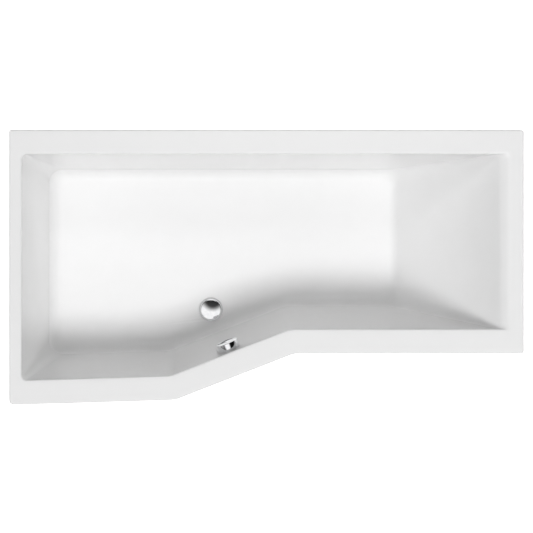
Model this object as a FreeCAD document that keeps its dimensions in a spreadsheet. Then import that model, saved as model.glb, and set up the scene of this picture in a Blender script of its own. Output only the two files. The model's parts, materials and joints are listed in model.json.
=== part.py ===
import FreeCAD, Part
import math
import os
import re
import Sketcher

os.makedirs("parts", exist_ok=True)
doc = FreeCAD.newDocument("AsymmetricBath")
sheet = doc.addObject("Spreadsheet::Sheet", "Sizes")

# Driving sizes, in millimetres and degrees
SIZES = {
    # Plan of the rim, seen from above with the backrest end towards +X and the wall side towards +Y
    "tub_length": 1600,
    "wide_width": 855,
    "narrow_width": 695,
    "bend_in": 87,
    "bend_out": 284,
    "wide_rise": 15.6,
    "bend_radius": 80,
    "outer_corner": 8,
    "foot_corner": 16,
    "rim_back": 70,
    "rim_front": 71,
    "rim_foot": 34,
    "rim_head": 32,
    # Section of the shell
    "floor_height": 160,
    "basin_depth": 430,
    "lip_drop": 40,
    "lip_roll": 5,
    "shell_thick": 4,
    "laminate_thick": 3,
    "bond_gap": 0.3,
    "lean_back": 5,
    "lean_foot": 8,
    "lean_front": 9.5,
    "lean_head": 37,
    "edge_roll": 5,
    "edge_over": 0.2,
    "neck_roll": 60,
    "cove": 40,
    "corner_top": 16,
    "corner_floor": 48,
    # Timber under the shell
    "batten_width": 40,
    "batten_tall": 18,
    "batten_end": 80,
    "batten_gap": 45,
    "board_thick": 16,
    "board_margin": 30,
    "board_hole": 62,
    # Leg rails, screws and feet
    "rail_end": 75,
    "rail_wide": 30,
    "rail_tall": 30,
    "rail_sheet": 2,
    "rail_overhang": 80,
    "screw_radius": 2.5,
    "screw_head": 4.6,
    "screw_head_tall": 3,
    "screw_deep": 12,
    "screw_inset": 60,
    "screw_pitch": 90,
    "stud_radius": 5,
    "stud_end": 24,
    "stud_above": 32,
    "nut_corner": 9.8,
    "nut_tall": 8,
    "pad_radius": 30,
    "pad_tall": 26,
    "pad_base": 7,
    "pad_neck": 13,
    "pad_floor": 6,
    # Fits
    "run_fit": 0.05,
    "hole_fit": 0.4,
    "overrun": 2,
    # Drain and pop-up plug
    "drain_along": 236.4,
    "drain_off": 37.8,
    "drain_hole": 26,
    "recess_radius": 40,
    "recess_deep": 2.5,
    "flange_radius": 38,
    "flange_thick": 1.5,
    "sleeve_radius": 24,
    "sleeve_bore": 21.5,
    "sleeve_deep": 24,
    "web_thick": 4,
    "bush_radius": 7,
    "bush_top": 9,
    "water_hole": 4.2,
    "water_ring": 14,
    "seal_low_thick": 3,
    "seal_low_radius": 41,
    "cap_radius": 36,
    "cap_edge": 1.6,
    "cap_rise": 7.8,
    "cap_roll": 2.6,
    "cap_chamfer": 1,
    "cap_seal_thick": 1.5,
    "cap_seal_inner": 26,
    "cap_seal_outer": 32,
    "stem_radius": 4,
    # Waste body, trap and outlet
    "waste_flange": 43,
    "waste_flange_thick": 6,
    "throat_radius": 32,
    "throat_bore": 28,
    "throat_low": 50,
    "neck_top": 46,
    "dip_radius": 18.5,
    "dip_bore": 16,
    "dip_low": 130,
    "chamber_radius": 46,
    "chamber_wall": 4,
    "chamber_low": 116,
    "bowl_collar": 51,
    "bowl_overlap": 18,
    "bowl_radius": 46,
    "bowl_low": 142,
    "bowl_wall": 3.5,
    "bowl_chamfer": 7,
    "outlet_axis": 74,
    "outlet_radius": 20,
    "outlet_wall": 2,
    "socket_radius": 23,
    "socket_reach": 82,
    "socket_grip": 28,
    "outlet_reach": 380,
    "outlet_spigot": 45,
    "bead_radius": 22,
    "bead_wide": 4,
    "outlet_nut_radius": 29,
    "outlet_nut_long": 24,
    "outlet_nut_back": 16,
    # Lifting lever
    "lever_back": 12,
    "lever_axis": 36,
    "lever_swing": 24.6,
    "lever_tip": 3,
    "lever_finger": 3,
    "lever_hub": 4,
    "lever_thick": 4,
    "lever_crank": 8,
    "lever_play": 0.3,
    "pin_radius": 2,
    # Overflow
    "overflow_depth": 58,
    "overflow_hole": 26,
    "spigot_side": 18,
    "face_radius": 30,
    "face_thick": 3,
    "sleeve_turn": 9,
    "sleeve_up": 5,
    "inlet_hole": 5,
    "inlet_ring": 17,
    "face_screw_at": 22.5,
    "face_screw": 2.5,
    "face_screw_head": 4.5,
    "face_screw_long": 34,
    "boss_radius": 8,
    "gasket_thick": 2,
    "gasket_outer": 32,
    "head_flange": 39,
    "head_flange_thick": 5,
    "cup_radius": 33,
    "cup_wall": 3.5,
    "cup_deep": 56,
    "cup_bearing": 6,
    "spindle_radius": 5,
    "spindle_up": 18,
    "drum_radius": 13,
    "drum_at": 36,
    "drum_wide": 10,
    "crank_pin": 2,
    "crank_at": 9,
    "knob_radius": 34,
    "knob_gap": 2,
    "knob_long": 23,
    "knob_wall": 2.5,
    "knob_face": 3,
    "knob_hub": 8.5,
    "knob_hub_long": 11,
    "knob_chamfer": 0.8,
    # Overflow hose and control cable
    "spigot_radius": 15,
    "spigot_bore": 12.5,
    "spigot_reach": 62,
    "spigot_axis": 31,
    "stub_axis": 34,
    "hose_lead": 3.5,
    "hose_bend": 40,
    "hose_nut": 17.5,
    "hose_nut_long": 18,
    "hose_nut_back": 4.5,
    "cable_radius": 3,
    "cable_side": 20,
    "cable_out": 11,
    "gland_radius": 4,
    "wire_bore": 1.2,
    "clip_long": 9,
    "clip_wall": 3,
}

for row, (alias, value) in enumerate(SIZES.items(), start=1):
    sheet.set(f"A{row}", str(value))
    sheet.setAlias(f"A{row}", alias)
doc.recompute()

# Shares along the rolls and coves at which an outline is drawn
ROLL_SHARES = (0, 0.06, 0.25, 0.6, 1)
NECK_SHARES = (0.33, 0.66, 1)
UNDER_SHARES = (0, 0.05, 0.2, 0.5, 1)
COVE_SHARES = (0.8, 0.6, 0.4, 0.22, 0.09, 0.02, 0)
CLIP_SHARES = (0.12, 0.44, 0.76)
WATER_HOLES = 6
NUT_SIDES = 6
FULL_TURN = 360
QUARTER_TURN = 90
WORD = re.compile(r"[a-z][a-z_]*[a-z]")


def bound(text):
    """The text of an expression with every size name pointing at its cell."""

    def cell(found):
        return "Sizes." + found.group() if found.group() in SIZES else found.group()

    return WORD.sub(cell, str(text))


def size(text):
    """The value of an expression now."""
    return float(sheet.evalExpression(bound(text)))


def at(x, y, z, yaw=0, pitch=0, roll=0):
    """A placement as an expression."""
    return bound(f"placement(vector({x}; {y}; {z}); rotation({yaw}; {pitch}; {roll}))")


def plane(body, role):
    return [part for part in body.Origin.OriginFeatures if part.Role == role][0]


def new_body(name):
    return doc.addObject("PartDesign::Body", name)


def new_sketch(body, name, role, level):
    sketch = body.newObject("Sketcher::SketchObject", name)
    sketch.AttachmentSupport = [(plane(body, role), "")]
    sketch.MapMode = "FlatFace"
    sketch.setExpression("AttachmentOffset.Base.z", bound(level))
    return sketch


def bind(sketch, rules):
    """Adds constraints, each with the expression that drives it or None."""
    for rule, text in rules:
        index = sketch.addConstraint(rule)
        if text is not None:
            sketch.setExpression(f"Constraints[{index}]", bound(text))


def rounded_outline(body, name, corners, level):
    """A closed outline of straight sides with a tangent arc at each corner (x, y, radius)."""
    sketch = new_sketch(body, name, "XY_Plane", level)
    count = len(corners)
    spots = [FreeCAD.Vector(size(x), size(y), 0) for x, y, radius in corners]
    up = FreeCAD.Vector(0, 0, 1)
    arcs = []
    ends = []
    for i in range(count):
        arrive = (spots[i] - spots[i - 1]).normalize()
        leave = (spots[(i + 1) % count] - spots[i]).normalize()
        left = arrive.cross(leave).z > 0
        radius = size(corners[i][2])
        reach = radius * math.tan(arrive.getAngle(leave) / 2)
        first = spots[i] - arrive * reach
        last = spots[i] + leave * reach
        side = up.cross(arrive) if left else arrive.cross(up)
        middle = first + side * radius
        begin, finish = (first, last) if left else (last, first)
        begin_angle = math.atan2(begin.y - middle.y, begin.x - middle.x)
        finish_angle = math.atan2(finish.y - middle.y, finish.x - middle.x)
        circle = Part.Circle(middle, up, radius)
        arcs.append((Part.ArcOfCircle(circle, begin_angle, finish_angle), left))
        ends.append((first, last))
    for i in range(count):
        sketch.addGeometry(Part.LineSegment(ends[i][1], ends[(i + 1) % count][0]))
    for arc, left in arcs:
        sketch.addGeometry(arc)
    for spot in spots:
        sketch.addGeometry(Part.Point(spot), True)
    rules = []
    for i, (x, y, radius) in enumerate(corners):
        before = (i - 1) % count
        arc = count + i
        point = 2 * count + i
        first, last = (1, 2) if arcs[i][1] else (2, 1)
        rules.append((Sketcher.Constraint("Tangent", before, 2, arc, first), None))
        rules.append((Sketcher.Constraint("Tangent", arc, last, i, 1), None))
        rules.append((Sketcher.Constraint("PointOnObject", point, 1, before), None))
        rules.append((Sketcher.Constraint("PointOnObject", point, 1, i), None))
        rules.append((Sketcher.Constraint("DistanceX", -1, 1, point, 1, spots[i].x), x))
        rules.append((Sketcher.Constraint("DistanceY", -1, 1, point, 1, spots[i].y), y))
        rules.append((Sketcher.Constraint("Radius", arc, size(radius)), radius))
    bind(sketch, rules)
    return sketch


def path(body, name, role, level, points, closed=True):
    """Straight sides through points (x, y); a third value makes the side that leaves the point an arc."""
    sketch = new_sketch(body, name, role, level)
    spots = [FreeCAD.Vector(size(point[0]), size(point[1]), 0) for point in points]
    count = len(points)
    sides = count if closed else count - 1
    handles = []
    rules = []
    for i in range(sides):
        here = spots[i]
        there = spots[(i + 1) % count]
        if len(points[i]) == 2:
            side = sketch.addGeometry(Part.LineSegment(here, there))
            handles.append((side, 1, 2))
            continue
        radius = size(points[i][2])
        half = (there - here) * 0.5
        across = FreeCAD.Vector(-half.y, half.x, 0).normalize()
        away = math.sqrt(radius * radius - half.Length * half.Length)
        turn = 1 if radius > 0 else -1
        middle = here + half + across * away * turn
        begin, finish = (here, there) if radius > 0 else (there, here)
        begin_angle = math.atan2(begin.y - middle.y, begin.x - middle.x)
        finish_angle = math.atan2(finish.y - middle.y, finish.x - middle.x)
        circle = Part.Circle(middle, FreeCAD.Vector(0, 0, 1), abs(radius))
        side = sketch.addGeometry(Part.ArcOfCircle(circle, begin_angle, finish_angle))
        handles.append((side, 1, 2) if radius > 0 else (side, 2, 1))
        rules.append((Sketcher.Constraint("Radius", side, abs(radius)), f"abs({points[i][2]})"))
    for i in range(sides):
        side, first, last = handles[i]
        rules.append((Sketcher.Constraint("DistanceX", -1, 1, side, first, spots[i].x), points[i][0]))
        rules.append((Sketcher.Constraint("DistanceY", -1, 1, side, first, spots[i].y), points[i][1]))
        if i + 1 < sides or closed:
            following = handles[(i + 1) % sides]
            rules.append((Sketcher.Constraint("Coincident", side, last, following[0], following[1]), None))
        else:
            end = points[i + 1]
            rules.append((Sketcher.Constraint("DistanceX", -1, 1, side, last, spots[i + 1].x), end[0]))
            rules.append((Sketcher.Constraint("DistanceY", -1, 1, side, last, spots[i + 1].y), end[1]))
    bind(sketch, rules)
    return sketch


def circles(body, name, role, level, spots):
    """Full circles (x, y, radius) in one sketch."""
    sketch = new_sketch(body, name, role, level)
    rules = []
    for x, y, radius in spots:
        spot = FreeCAD.Vector(size(x), size(y), 0)
        ring = sketch.addGeometry(Part.Circle(spot, FreeCAD.Vector(0, 0, 1), size(radius)))
        rules.append((Sketcher.Constraint("DistanceX", -1, 1, ring, 3, spot.x), x))
        rules.append((Sketcher.Constraint("DistanceY", -1, 1, ring, 3, spot.y), y))
        rules.append((Sketcher.Constraint("Radius", ring, size(radius)), radius))
    bind(sketch, rules)
    return sketch


def pad(body, name, sketch, length):
    feature = body.newObject("PartDesign::Pad", name)
    feature.Profile = sketch
    feature.setExpression("Length", bound(length))
    return feature


def pocket(body, name, sketch, length, upward=False):
    feature = body.newObject("PartDesign::Pocket", name)
    feature.Profile = sketch
    feature.setExpression("Length", bound(length))
    feature.Reversed = upward
    return feature


def loft(body, name, kind, sketches, ruled):
    feature = body.newObject(f"PartDesign::{kind}Loft", name)
    feature.Profile = sketches[0]
    feature.Sections = sketches[1:]
    feature.Ruled = ruled
    return feature


def turned(name, profile, place=None):
    """A piece turned about its own upright axis from a half profile (radius, height)."""
    body = new_body(name)
    sketch = path(body, name + "_profile", "XZ_Plane", 0, profile)
    turn = body.newObject("PartDesign::Revolution", name + "_turn")
    turn.Profile = sketch
    turn.ReferenceAxis = (sketch, ["V_Axis"])
    turn.Angle = FULL_TURN
    if place:
        body.setExpression("Placement", place)
    return body


def cylinder(name, radius, tall, place):
    solid = doc.addObject("Part::Cylinder", name)
    solid.setExpression("Radius", bound(radius))
    solid.setExpression("Height", bound(tall))
    solid.setExpression("Placement", place)
    return solid


def box(name, long, wide, tall, place):
    solid = doc.addObject("Part::Box", name)
    solid.setExpression("Length", bound(long))
    solid.setExpression("Width", bound(wide))
    solid.setExpression("Height", bound(tall))
    solid.setExpression("Placement", place)
    return solid


def fuse(name, solids):
    joined = doc.addObject("Part::MultiFuse", name)
    joined.Shapes = solids
    return joined


def cut(name, base, tool):
    left = doc.addObject("Part::Cut", name)
    left.Base = base
    left.Tool = tool
    return left


# Plan of the bath: angles of the diagonal and of the wide front side, and the outline at any inset
RIM = "(floor_height + basin_depth)"
DIAGONAL = "(atan((wide_width - narrow_width - wide_rise) / (bend_in + bend_out)) / 1deg)"
TILT = "(atan(wide_rise / (tub_length / 2 - bend_out)) / 1deg)"
WALLS = ("foot", "back", "head", "front")
BACK_Y = "wide_width / 2"
NARROW_Y = "wide_width / 2 - narrow_width"


def plan(foot, back, head, front, radius, foot_radius):
    """Corners of the bath's outline, each side moved in from the rim's outer edge by its own inset."""
    half = f"({DIAGONAL} + {TILT}) / 2"
    open_half = f"({DIAGONAL} - {TILT}) / 2"
    left = f"-tub_length / 2 + {foot}"
    right = f"tub_length / 2 - ({head})"
    return [
        (left, f"-wide_width / 2 + ({front}) / cos({TILT}) + ({foot}) * tan({TILT})", foot_radius),
        (
            f"-bend_out - ({front}) * sin({half}) / cos({open_half})",
            f"-wide_width / 2 + wide_rise + ({front}) * cos({half}) / cos({open_half})",
            "bend_radius",
        ),
        (f"bend_in - ({front}) * tan({DIAGONAL} / 2)", f"{NARROW_Y} + {front}", "bend_radius"),
        (right, f"{NARROW_Y} + {front}", radius),
        (right, f"{BACK_Y} - ({back})", radius),
        (left, f"{BACK_Y} - ({back})", radius),
    ]


def inset(wall, depth, grow):
    """How far a wall has come in at a depth under the rim, for the face that lies grow outside the basin."""
    roll = "neck_roll" if wall == "head" else "edge_roll"
    lean = f"lean_{wall}"
    straight = f"{roll} * cos({lean}) - {roll} * (1 - sin({lean})) * tan({lean})"
    line = f"{straight} + ({depth}) * tan({lean}) - ({grow}) / cos({lean})"
    foot = f"{straight} + (basin_depth - cove * (1 - sin({lean}))) * tan({lean}) + cove * cos({lean})"
    arc = f"{foot} - sqrt(abs((cove + {grow})^2 - ({depth} - basin_depth + cove)^2))"
    coved = f"({depth} > basin_depth - cove + (cove + {grow}) * sin({lean}) ? {arc} : {line})"
    if wall != "head" and grow != "0":
        return coved
    bend = f"sqrt(abs(({roll} - ({grow}))^2 - ({roll} - ({depth}))^2))"
    return f"({depth} < {roll} - ({roll} - ({grow})) * sin({lean}) ? {bend} : {coved})"


def basin_plan(depth, grow):
    """Corners of the basin's outline at a depth under the rim."""
    widths = [f"(rim_{wall} + {inset(wall, depth, grow)})" for wall in WALLS]
    radius = f"corner_top + (corner_floor - corner_top) * min({depth}; basin_depth) / basin_depth + {grow}"
    return plan(*widths, radius, radius)


def basin_lofts(body, tag, kind, grow, floor, top_shares, edge_end, lift):
    """The rolled edge, the leaning walls and the cove down to the floor, as three lofts."""
    neck_end = f"(neck_roll - (neck_roll - ({grow})) * sin(lean_head))"
    cove_start = "(basin_depth - cove)"
    top = [f"({grow} + ({edge_end} - ({grow})) * {share})" for share in top_shares]
    if grow == "0":
        top = top + [f"({edge_end} + ({neck_end} - {edge_end}) * {share})" for share in NECK_SHARES]
    coves = [f"({floor} - ({floor} - {cove_start}) * {share})" for share in COVE_SHARES]
    depths = top + [cove_start] + coves
    drawn = []
    for number, depth in enumerate(depths):
        name = f"{tag}_level_{number}"
        level = f"{RIM} - {depth}" if number else f"{RIM} - {depth} + {lift}"
        drawn.append(rounded_outline(body, name, basin_plan(depth, grow), level))
    last = len(top) - 1
    loft(body, f"{tag}_edge", kind, drawn[: last + 1], False)
    loft(body, f"{tag}_walls", kind, drawn[last : last + 2], True)
    loft(body, f"{tag}_cove", kind, drawn[last + 1 :], False)


# Levels and the two working frames: the drain's, and the overflow's on the diagonal wall
FLOOR = "floor_height"
UNDER = f"({FLOOR} - shell_thick - laminate_thick)"
BOARD_LOW = f"({UNDER} - board_thick)"
OUTSIDE = "(shell_thick + bond_gap + laminate_thick)"
NECK_END_UNDER = "(neck_roll - (neck_roll - ({0})) * sin(lean_head))"
FLOOR_IN = {wall: f"(rim_{wall} + {inset(wall, 'basin_depth', '0')})" for wall in WALLS}
FRONT_FLOOR = FLOOR_IN["front"]
DRAIN_X = (
    f"(bend_in - {FRONT_FLOOR} * tan({DIAGONAL} / 2)"
    f" - drain_along * cos({DIAGONAL}) - drain_off * sin({DIAGONAL}))"
)
DRAIN_Y = (
    f"({NARROW_Y} + {FRONT_FLOOR}"
    f" - drain_along * sin({DIAGONAL}) + drain_off * cos({DIAGONAL}))"
)
WASTE_YAW = f"{DIAGONAL} - {QUARTER_TURN}"
OVER_OUT = f"(drain_off + {FRONT_FLOOR} - rim_front - {inset('front', 'overflow_depth', '0')})"
OVER_X = f"({DRAIN_X} + spigot_side * cos({DIAGONAL}) + {OVER_OUT} * sin({DIAGONAL}))"
OVER_Y = f"({DRAIN_Y} + spigot_side * sin({DIAGONAL}) - {OVER_OUT} * cos({DIAGONAL}))"
OVER_Z = f"({RIM} - overflow_depth)"
OVER_UP = "(basin_depth - overflow_depth)"


def at_drain(x=0, y=0, z=0, pitch=0, roll=0):
    """A place in the drain's frame: X out towards the diagonal wall, Z up from the basin floor."""
    yaw = f"({WASTE_YAW})"
    world_x = f"{DRAIN_X} + ({x}) * cos({yaw}) - ({y}) * sin({yaw})"
    world_y = f"{DRAIN_Y} + ({x}) * sin({yaw}) + ({y}) * cos({yaw})"
    return at(world_x, world_y, f"{FLOOR} + {z}", yaw, pitch, roll)


def at_overflow(x=0, y=0, z=0, roll=0):
    """A place in the overflow's frame: X along the wall, Y down the wall, Z into the bath."""
    out = f"(({y}) * sin(lean_front) + ({z}) * cos(lean_front))"
    world_x = f"{OVER_X} + ({x}) * cos({DIAGONAL}) - {out} * sin({DIAGONAL})"
    world_y = f"{OVER_Y} + ({x}) * sin({DIAGONAL}) + {out} * cos({DIAGONAL})"
    world_z = f"{OVER_Z} - ({y}) * cos(lean_front) + ({z}) * sin(lean_front)"
    return at(world_x, world_y, world_z, DIAGONAL, 0, f"lean_front - {QUARTER_TURN} + {roll}")


nodes = []


def keep(name, piece):
    """Names a finished piece for its file."""
    piece.Label = name
    nodes.append((name, piece))


# Acrylic shell: rim plate with a turned-down lip, basin outside, basin inside, drain and overflow holes
shell = new_body("tub_shell")
rim = rounded_outline(
    shell, "rim_outline", plan("0", "0", "0", "0", "outer_corner", "foot_corner"), f"{RIM} - lip_drop"
)
pad(shell, "rim_block", rim, "lip_drop")
doc.recompute()
top_level = size(RIM)
top_edges = []
for number, edge in enumerate(shell.Shape.Edges, start=1):
    if edge.BoundBox.ZMin > top_level - size("edge_roll"):
        top_edges.append(f"Edge{number}")
edge_round = shell.newObject("PartDesign::Fillet", "rim_round")
edge_round.Base = (shell.getObject("rim_block"), top_edges)
edge_round.setExpression("Radius", bound("lip_roll"))
lip_in = ["shell_thick"] * 4
under_rim = rounded_outline(
    shell,
    "under_rim_outline",
    plan(*lip_in, "outer_corner - shell_thick / 2", "foot_corner - shell_thick"),
    f"{RIM} - lip_drop",
)
pocket(shell, "under_rim", under_rim, "lip_drop - shell_thick", True)
basin_lofts(
    shell,
    "outside",
    "Additive",
    "shell_thick",
    "(basin_depth + shell_thick)",
    UNDER_SHARES,
    NECK_END_UNDER.format("shell_thick"),
    "shell_thick / 2",
)
basin_lofts(shell, "inside", "Subtractive", "0", "basin_depth", ROLL_SHARES, "edge_roll", "edge_over")
drain = circles(shell, "drain_recess", "XY_Plane", FLOOR, [(DRAIN_X, DRAIN_Y, "recess_radius")])
pocket(shell, "drain_recess_cut", drain, "recess_deep")
drain = circles(shell, "drain_circle", "XY_Plane", FLOOR, [(DRAIN_X, DRAIN_Y, "drain_hole")])
pocket(shell, "drain_cut", drain, "shell_thick + overrun")
hole = shell.newObject("PartDesign::SubtractiveCylinder", "overflow_cut")
hole.setExpression("Radius", bound("overflow_hole"))
hole.setExpression("Height", bound(f"2 * {OUTSIDE}"))
hole.setExpression("Placement", at_overflow(0, 0, f"-{OUTSIDE}"))
keep("tub_shell", shell)

# Glass-fibre reinforcement bonded under the basin
skin = new_body("reinforcement")
basin_lofts(
    skin,
    "skin_outside",
    "Additive",
    OUTSIDE,
    "(basin_depth + shell_thick + laminate_thick)",
    UNDER_SHARES,
    NECK_END_UNDER.format(OUTSIDE),
    f"{OUTSIDE} - shell_thick",
)
basin_lofts(
    skin,
    "skin_inside",
    "Subtractive",
    "(shell_thick + bond_gap)",
    "(basin_depth + shell_thick)",
    UNDER_SHARES,
    NECK_END_UNDER.format("(shell_thick + bond_gap)"),
    "overrun",
)
skin_drain = circles(skin, "skin_drain", "XY_Plane", FLOOR, [(DRAIN_X, DRAIN_Y, "drain_hole")])
pocket(skin, "skin_drain_cut", skin_drain, "shell_thick + laminate_thick + overrun")
hole = skin.newObject("PartDesign::SubtractiveCylinder", "skin_overflow_cut")
hole.setExpression("Radius", bound("overflow_hole"))
hole.setExpression("Height", bound(f"3 * {OUTSIDE}"))
hole.setExpression("Placement", at_overflow(0, 0, f"-2 * {OUTSIDE}"))
keep("reinforcement", skin)

# Base board under the floor, with its opening round the drain and pilot holes for the rail screws
BACK_FLOOR = f"({BACK_Y} - {FLOOR_IN['back']})"
NARROW_FLOOR = f"({NARROW_Y} + {FRONT_FLOOR})"
RAIL_FOOT = f"({FLOOR_IN['foot']} + board_margin + rail_end)"
RAIL_HEAD = f"({FLOOR_IN['head']} + board_margin + rail_end)"
WIDE_FLOOR = f"(-wide_width / 2 + {FRONT_FLOOR} / cos({TILT}) + {RAIL_FOOT} * tan({TILT}))"
RAIL_BACK = f"({BACK_FLOOR} + rail_overhang)"
RAILS = {
    "leg_rail_foot": (f"({RAIL_FOOT} - tub_length / 2)", f"({WIDE_FLOOR} - rail_overhang)", RAIL_BACK),
    "leg_rail_head": (f"(tub_length / 2 - {RAIL_HEAD})", f"({NARROW_FLOOR} - rail_overhang)", RAIL_BACK),
}
screw_spots = []
for x, low, high in RAILS.values():
    for step in ("0", "screw_pitch"):
        screw_spots.append((x, f"{low} + rail_overhang + screw_inset + {step}"))
        screw_spots.append((x, f"{high} - rail_overhang - screw_inset - {step}"))
board = new_body("base_board")
edge = [f"({FLOOR_IN[wall]} + board_margin)" for wall in WALLS]
board_plan = rounded_outline(board, "board_outline", plan(*edge, "corner_top", "corner_top"), BOARD_LOW)
pad(board, "board_pad", board_plan, "board_thick")
opening = circles(board, "board_opening", "XY_Plane", BOARD_LOW, [(DRAIN_X, DRAIN_Y, "board_hole")])
pocket(board, "board_opening_cut", opening, "board_thick + overrun", True)
pilots = [(x, y, "screw_radius + run_fit") for x, y in screw_spots]
pilot_holes = circles(board, "board_pilots", "XY_Plane", BOARD_LOW, pilots)
pocket(board, "board_pilot_cut", pilot_holes, "screw_deep + overrun / 2", True)
keep("base_board", board)

# Rim battens under the back and the three front sides
BATTEN_Z = f"{RIM} - shell_thick - batten_tall"
LONG_BACK = "tub_length - 2 * batten_end"
LONG_NARROW = "tub_length / 2 - bend_in - batten_end - batten_gap"
LONG_DIAGONAL = f"(bend_in + bend_out) / cos({DIAGONAL}) - 2 * batten_gap"
LONG_WIDE = f"(tub_length / 2 - bend_out) / cos({TILT}) - batten_end - batten_gap"
BATTENS = {
    "rim_batten_back": (
        LONG_BACK, "-tub_length / 2 + batten_end", f"{BACK_Y} - shell_thick - batten_width", "0"
    ),
    "rim_batten_narrow": (LONG_NARROW, "bend_in + batten_gap", f"{NARROW_Y} + shell_thick", "0"),
    "rim_batten_diagonal": (
        LONG_DIAGONAL,
        f"-bend_out + batten_gap * cos({DIAGONAL}) - shell_thick * sin({DIAGONAL})",
        f"-wide_width / 2 + wide_rise + batten_gap * sin({DIAGONAL}) + shell_thick * cos({DIAGONAL})",
        DIAGONAL,
    ),
    "rim_batten_wide": (
        LONG_WIDE,
        f"-tub_length / 2 + batten_end * cos({TILT}) - shell_thick * sin({TILT})",
        f"-wide_width / 2 + batten_end * sin({TILT}) + shell_thick * cos({TILT})",
        TILT,
    ),
}
for name, (long, x, y, yaw) in BATTENS.items():
    keep(name, box(name, long, "batten_width", "batten_tall", at(x, y, BATTEN_Z, yaw)))

# Leg rails: channels open downwards, screwed to the board
stud_spots = []
RAIL_LOW = f"({BOARD_LOW} - rail_tall)"
for name, (x, low, high) in RAILS.items():
    body = box(
        name + "_block",
        "rail_wide",
        f"{high} - {low}",
        "rail_tall",
        at(f"{x} - rail_wide / 2", low, RAIL_LOW),
    )
    trough = box(
        name + "_trough",
        "rail_wide - 2 * rail_sheet",
        f"{high} - {low} + 2 * overrun",
        "rail_tall - rail_sheet + overrun",
        at(f"{x} - rail_wide / 2 + rail_sheet", f"{low} - overrun", f"{RAIL_LOW} - overrun"),
    )
    tools = [trough]
    ends = [f"({low} + stud_end)", f"({high} - stud_end)"]
    for number, y in enumerate(ends):
        stud_spots.append((x, y))
        place = at(x, y, f"{BOARD_LOW} - rail_sheet - overrun")
        tools.append(
            cylinder(
                f"{name}_stud_hole_{number}", "stud_radius + hole_fit", "rail_sheet + 2 * overrun", place
            ),
        )
    for number, (screw_x, screw_y) in enumerate(screw_spots):
        if screw_x == x:
            place = at(x, screw_y, f"{BOARD_LOW} - rail_sheet - overrun")
            tools.append(
                cylinder(
                    f"{name}_screw_hole_{number}",
                    "screw_radius + hole_fit",
                    "rail_sheet + 2 * overrun",
                    place,
                )
            )
    keep(name, cut(name, body, fuse(name + "_cuts", tools)))

# Wood screws that hold the rails to the board
screws = []
for number, (x, y) in enumerate(screw_spots):
    head_low = f"{BOARD_LOW} - rail_sheet - screw_head_tall"
    shank = cylinder(
        f"rail_screw_shank_{number}",
        "screw_radius",
        "screw_head_tall + rail_sheet + screw_deep",
        at(x, y, head_low),
    )
    head = cylinder(f"rail_screw_head_{number}", "screw_head", "screw_head_tall", at(x, y, head_low))
    screws.append(fuse(f"rail_screw_{number}", [shank, head]))
keep("rail_screws", fuse("rail_screws", screws))

# Adjustable feet: stud and pad each, with a nut above and below the rail's web
nuts = []
for number, (x, y) in enumerate(stud_spots, start=1):
    stud_tall = f"{BOARD_LOW} + stud_above - pad_floor"
    keep(
        f"foot_stud_{number}",
        cylinder(f"foot_stud_{number}", "stud_radius", stud_tall, at(x, y, "pad_floor")),
    )
    pad_profile = [
        ("0", "0"),
        ("pad_radius", "0"),
        ("pad_radius", "pad_base"),
        ("pad_neck", "pad_base + pad_floor"),
        ("pad_neck", "pad_tall"),
        ("stud_radius + run_fit", "pad_tall"),
        ("stud_radius + run_fit", "pad_floor"),
        ("0", "pad_floor"),
    ]
    keep(f"foot_pad_{number}", turned(f"foot_pad_{number}", pad_profile, at(x, y, "0")))
    for side, low in (("upper", BOARD_LOW), ("lower", f"{BOARD_LOW} - rail_sheet - nut_tall")):
        block = doc.addObject("Part::Prism", f"nut_block_{side}_{number}")
        block.Polygon = NUT_SIDES
        block.setExpression("Circumradius", bound("nut_corner"))
        block.setExpression("Height", bound("nut_tall"))
        block.setExpression("Placement", at(x, y, low))
        bore = cylinder(
            f"nut_bore_{side}_{number}",
            "stud_radius + run_fit",
            "nut_tall + 2 * overrun",
            at(x, y, f"{low} - overrun"),
        )
        nuts.append(cut(f"nut_{side}_{number}", block, bore))
keep("leg_nuts", fuse("leg_nuts", nuts))

# Waste flange with its strainer web and guide bush, and the seals above and below the floor
RING_LOW = "-flange_thick"
flange_profile = [
    ("stem_radius + run_fit", "-sleeve_deep"),
    ("sleeve_radius", "-sleeve_deep"),
    ("sleeve_radius", RING_LOW),
    ("flange_radius", RING_LOW),
    ("flange_radius", "0"),
    ("sleeve_bore", "0"),
    ("sleeve_bore", "-sleeve_deep + web_thick"),
    ("bush_radius", "-sleeve_deep + web_thick"),
    ("bush_radius", "-bush_top"),
    ("stem_radius + run_fit", "-bush_top"),
]
flange = turned("waste_flange", flange_profile, at_drain())
turns = [f"{FULL_TURN} * {number} / {WATER_HOLES}" for number in range(WATER_HOLES)]
spots = [(f"water_ring * cos({turn})", f"water_ring * sin({turn})", "water_hole") for turn in turns]
water = circles(flange, "water_holes", "XY_Plane", "-sleeve_deep + web_thick", spots)
pocket(flange, "water_hole_cut", water, "web_thick + overrun")
keep("waste_flange", flange)


def ring(name, inner, outer, low, high, place):
    profile = [(inner, low), (outer, low), (outer, high), (inner, high)]
    return turned(name, profile, place)


SEAL_LOW = "-shell_thick - laminate_thick"
WASTE_TOP = f"({SEAL_LOW} - seal_low_thick)"
keep(
    "waste_seal_top",
    ring(
        "waste_seal_top",
        "drain_hole + run_fit",
        "flange_radius - run_fit",
        "-recess_deep",
        RING_LOW,
        at_drain(),
    ),
)
keep(
    "waste_seal_low",
    ring("waste_seal_low", "drain_hole + run_fit", "seal_low_radius", WASTE_TOP, SEAL_LOW, at_drain()),
)

# Pop-up plug: domed cap, seal ring and stem
CAP_IN = "(cap_radius - cap_roll)"
CAP_UP = "(cap_rise - cap_edge)"
DOME = f"(({CAP_IN}^2 + {CAP_UP}^2 - cap_roll^2) / (2 * ({CAP_UP} - cap_roll)))"
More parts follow.
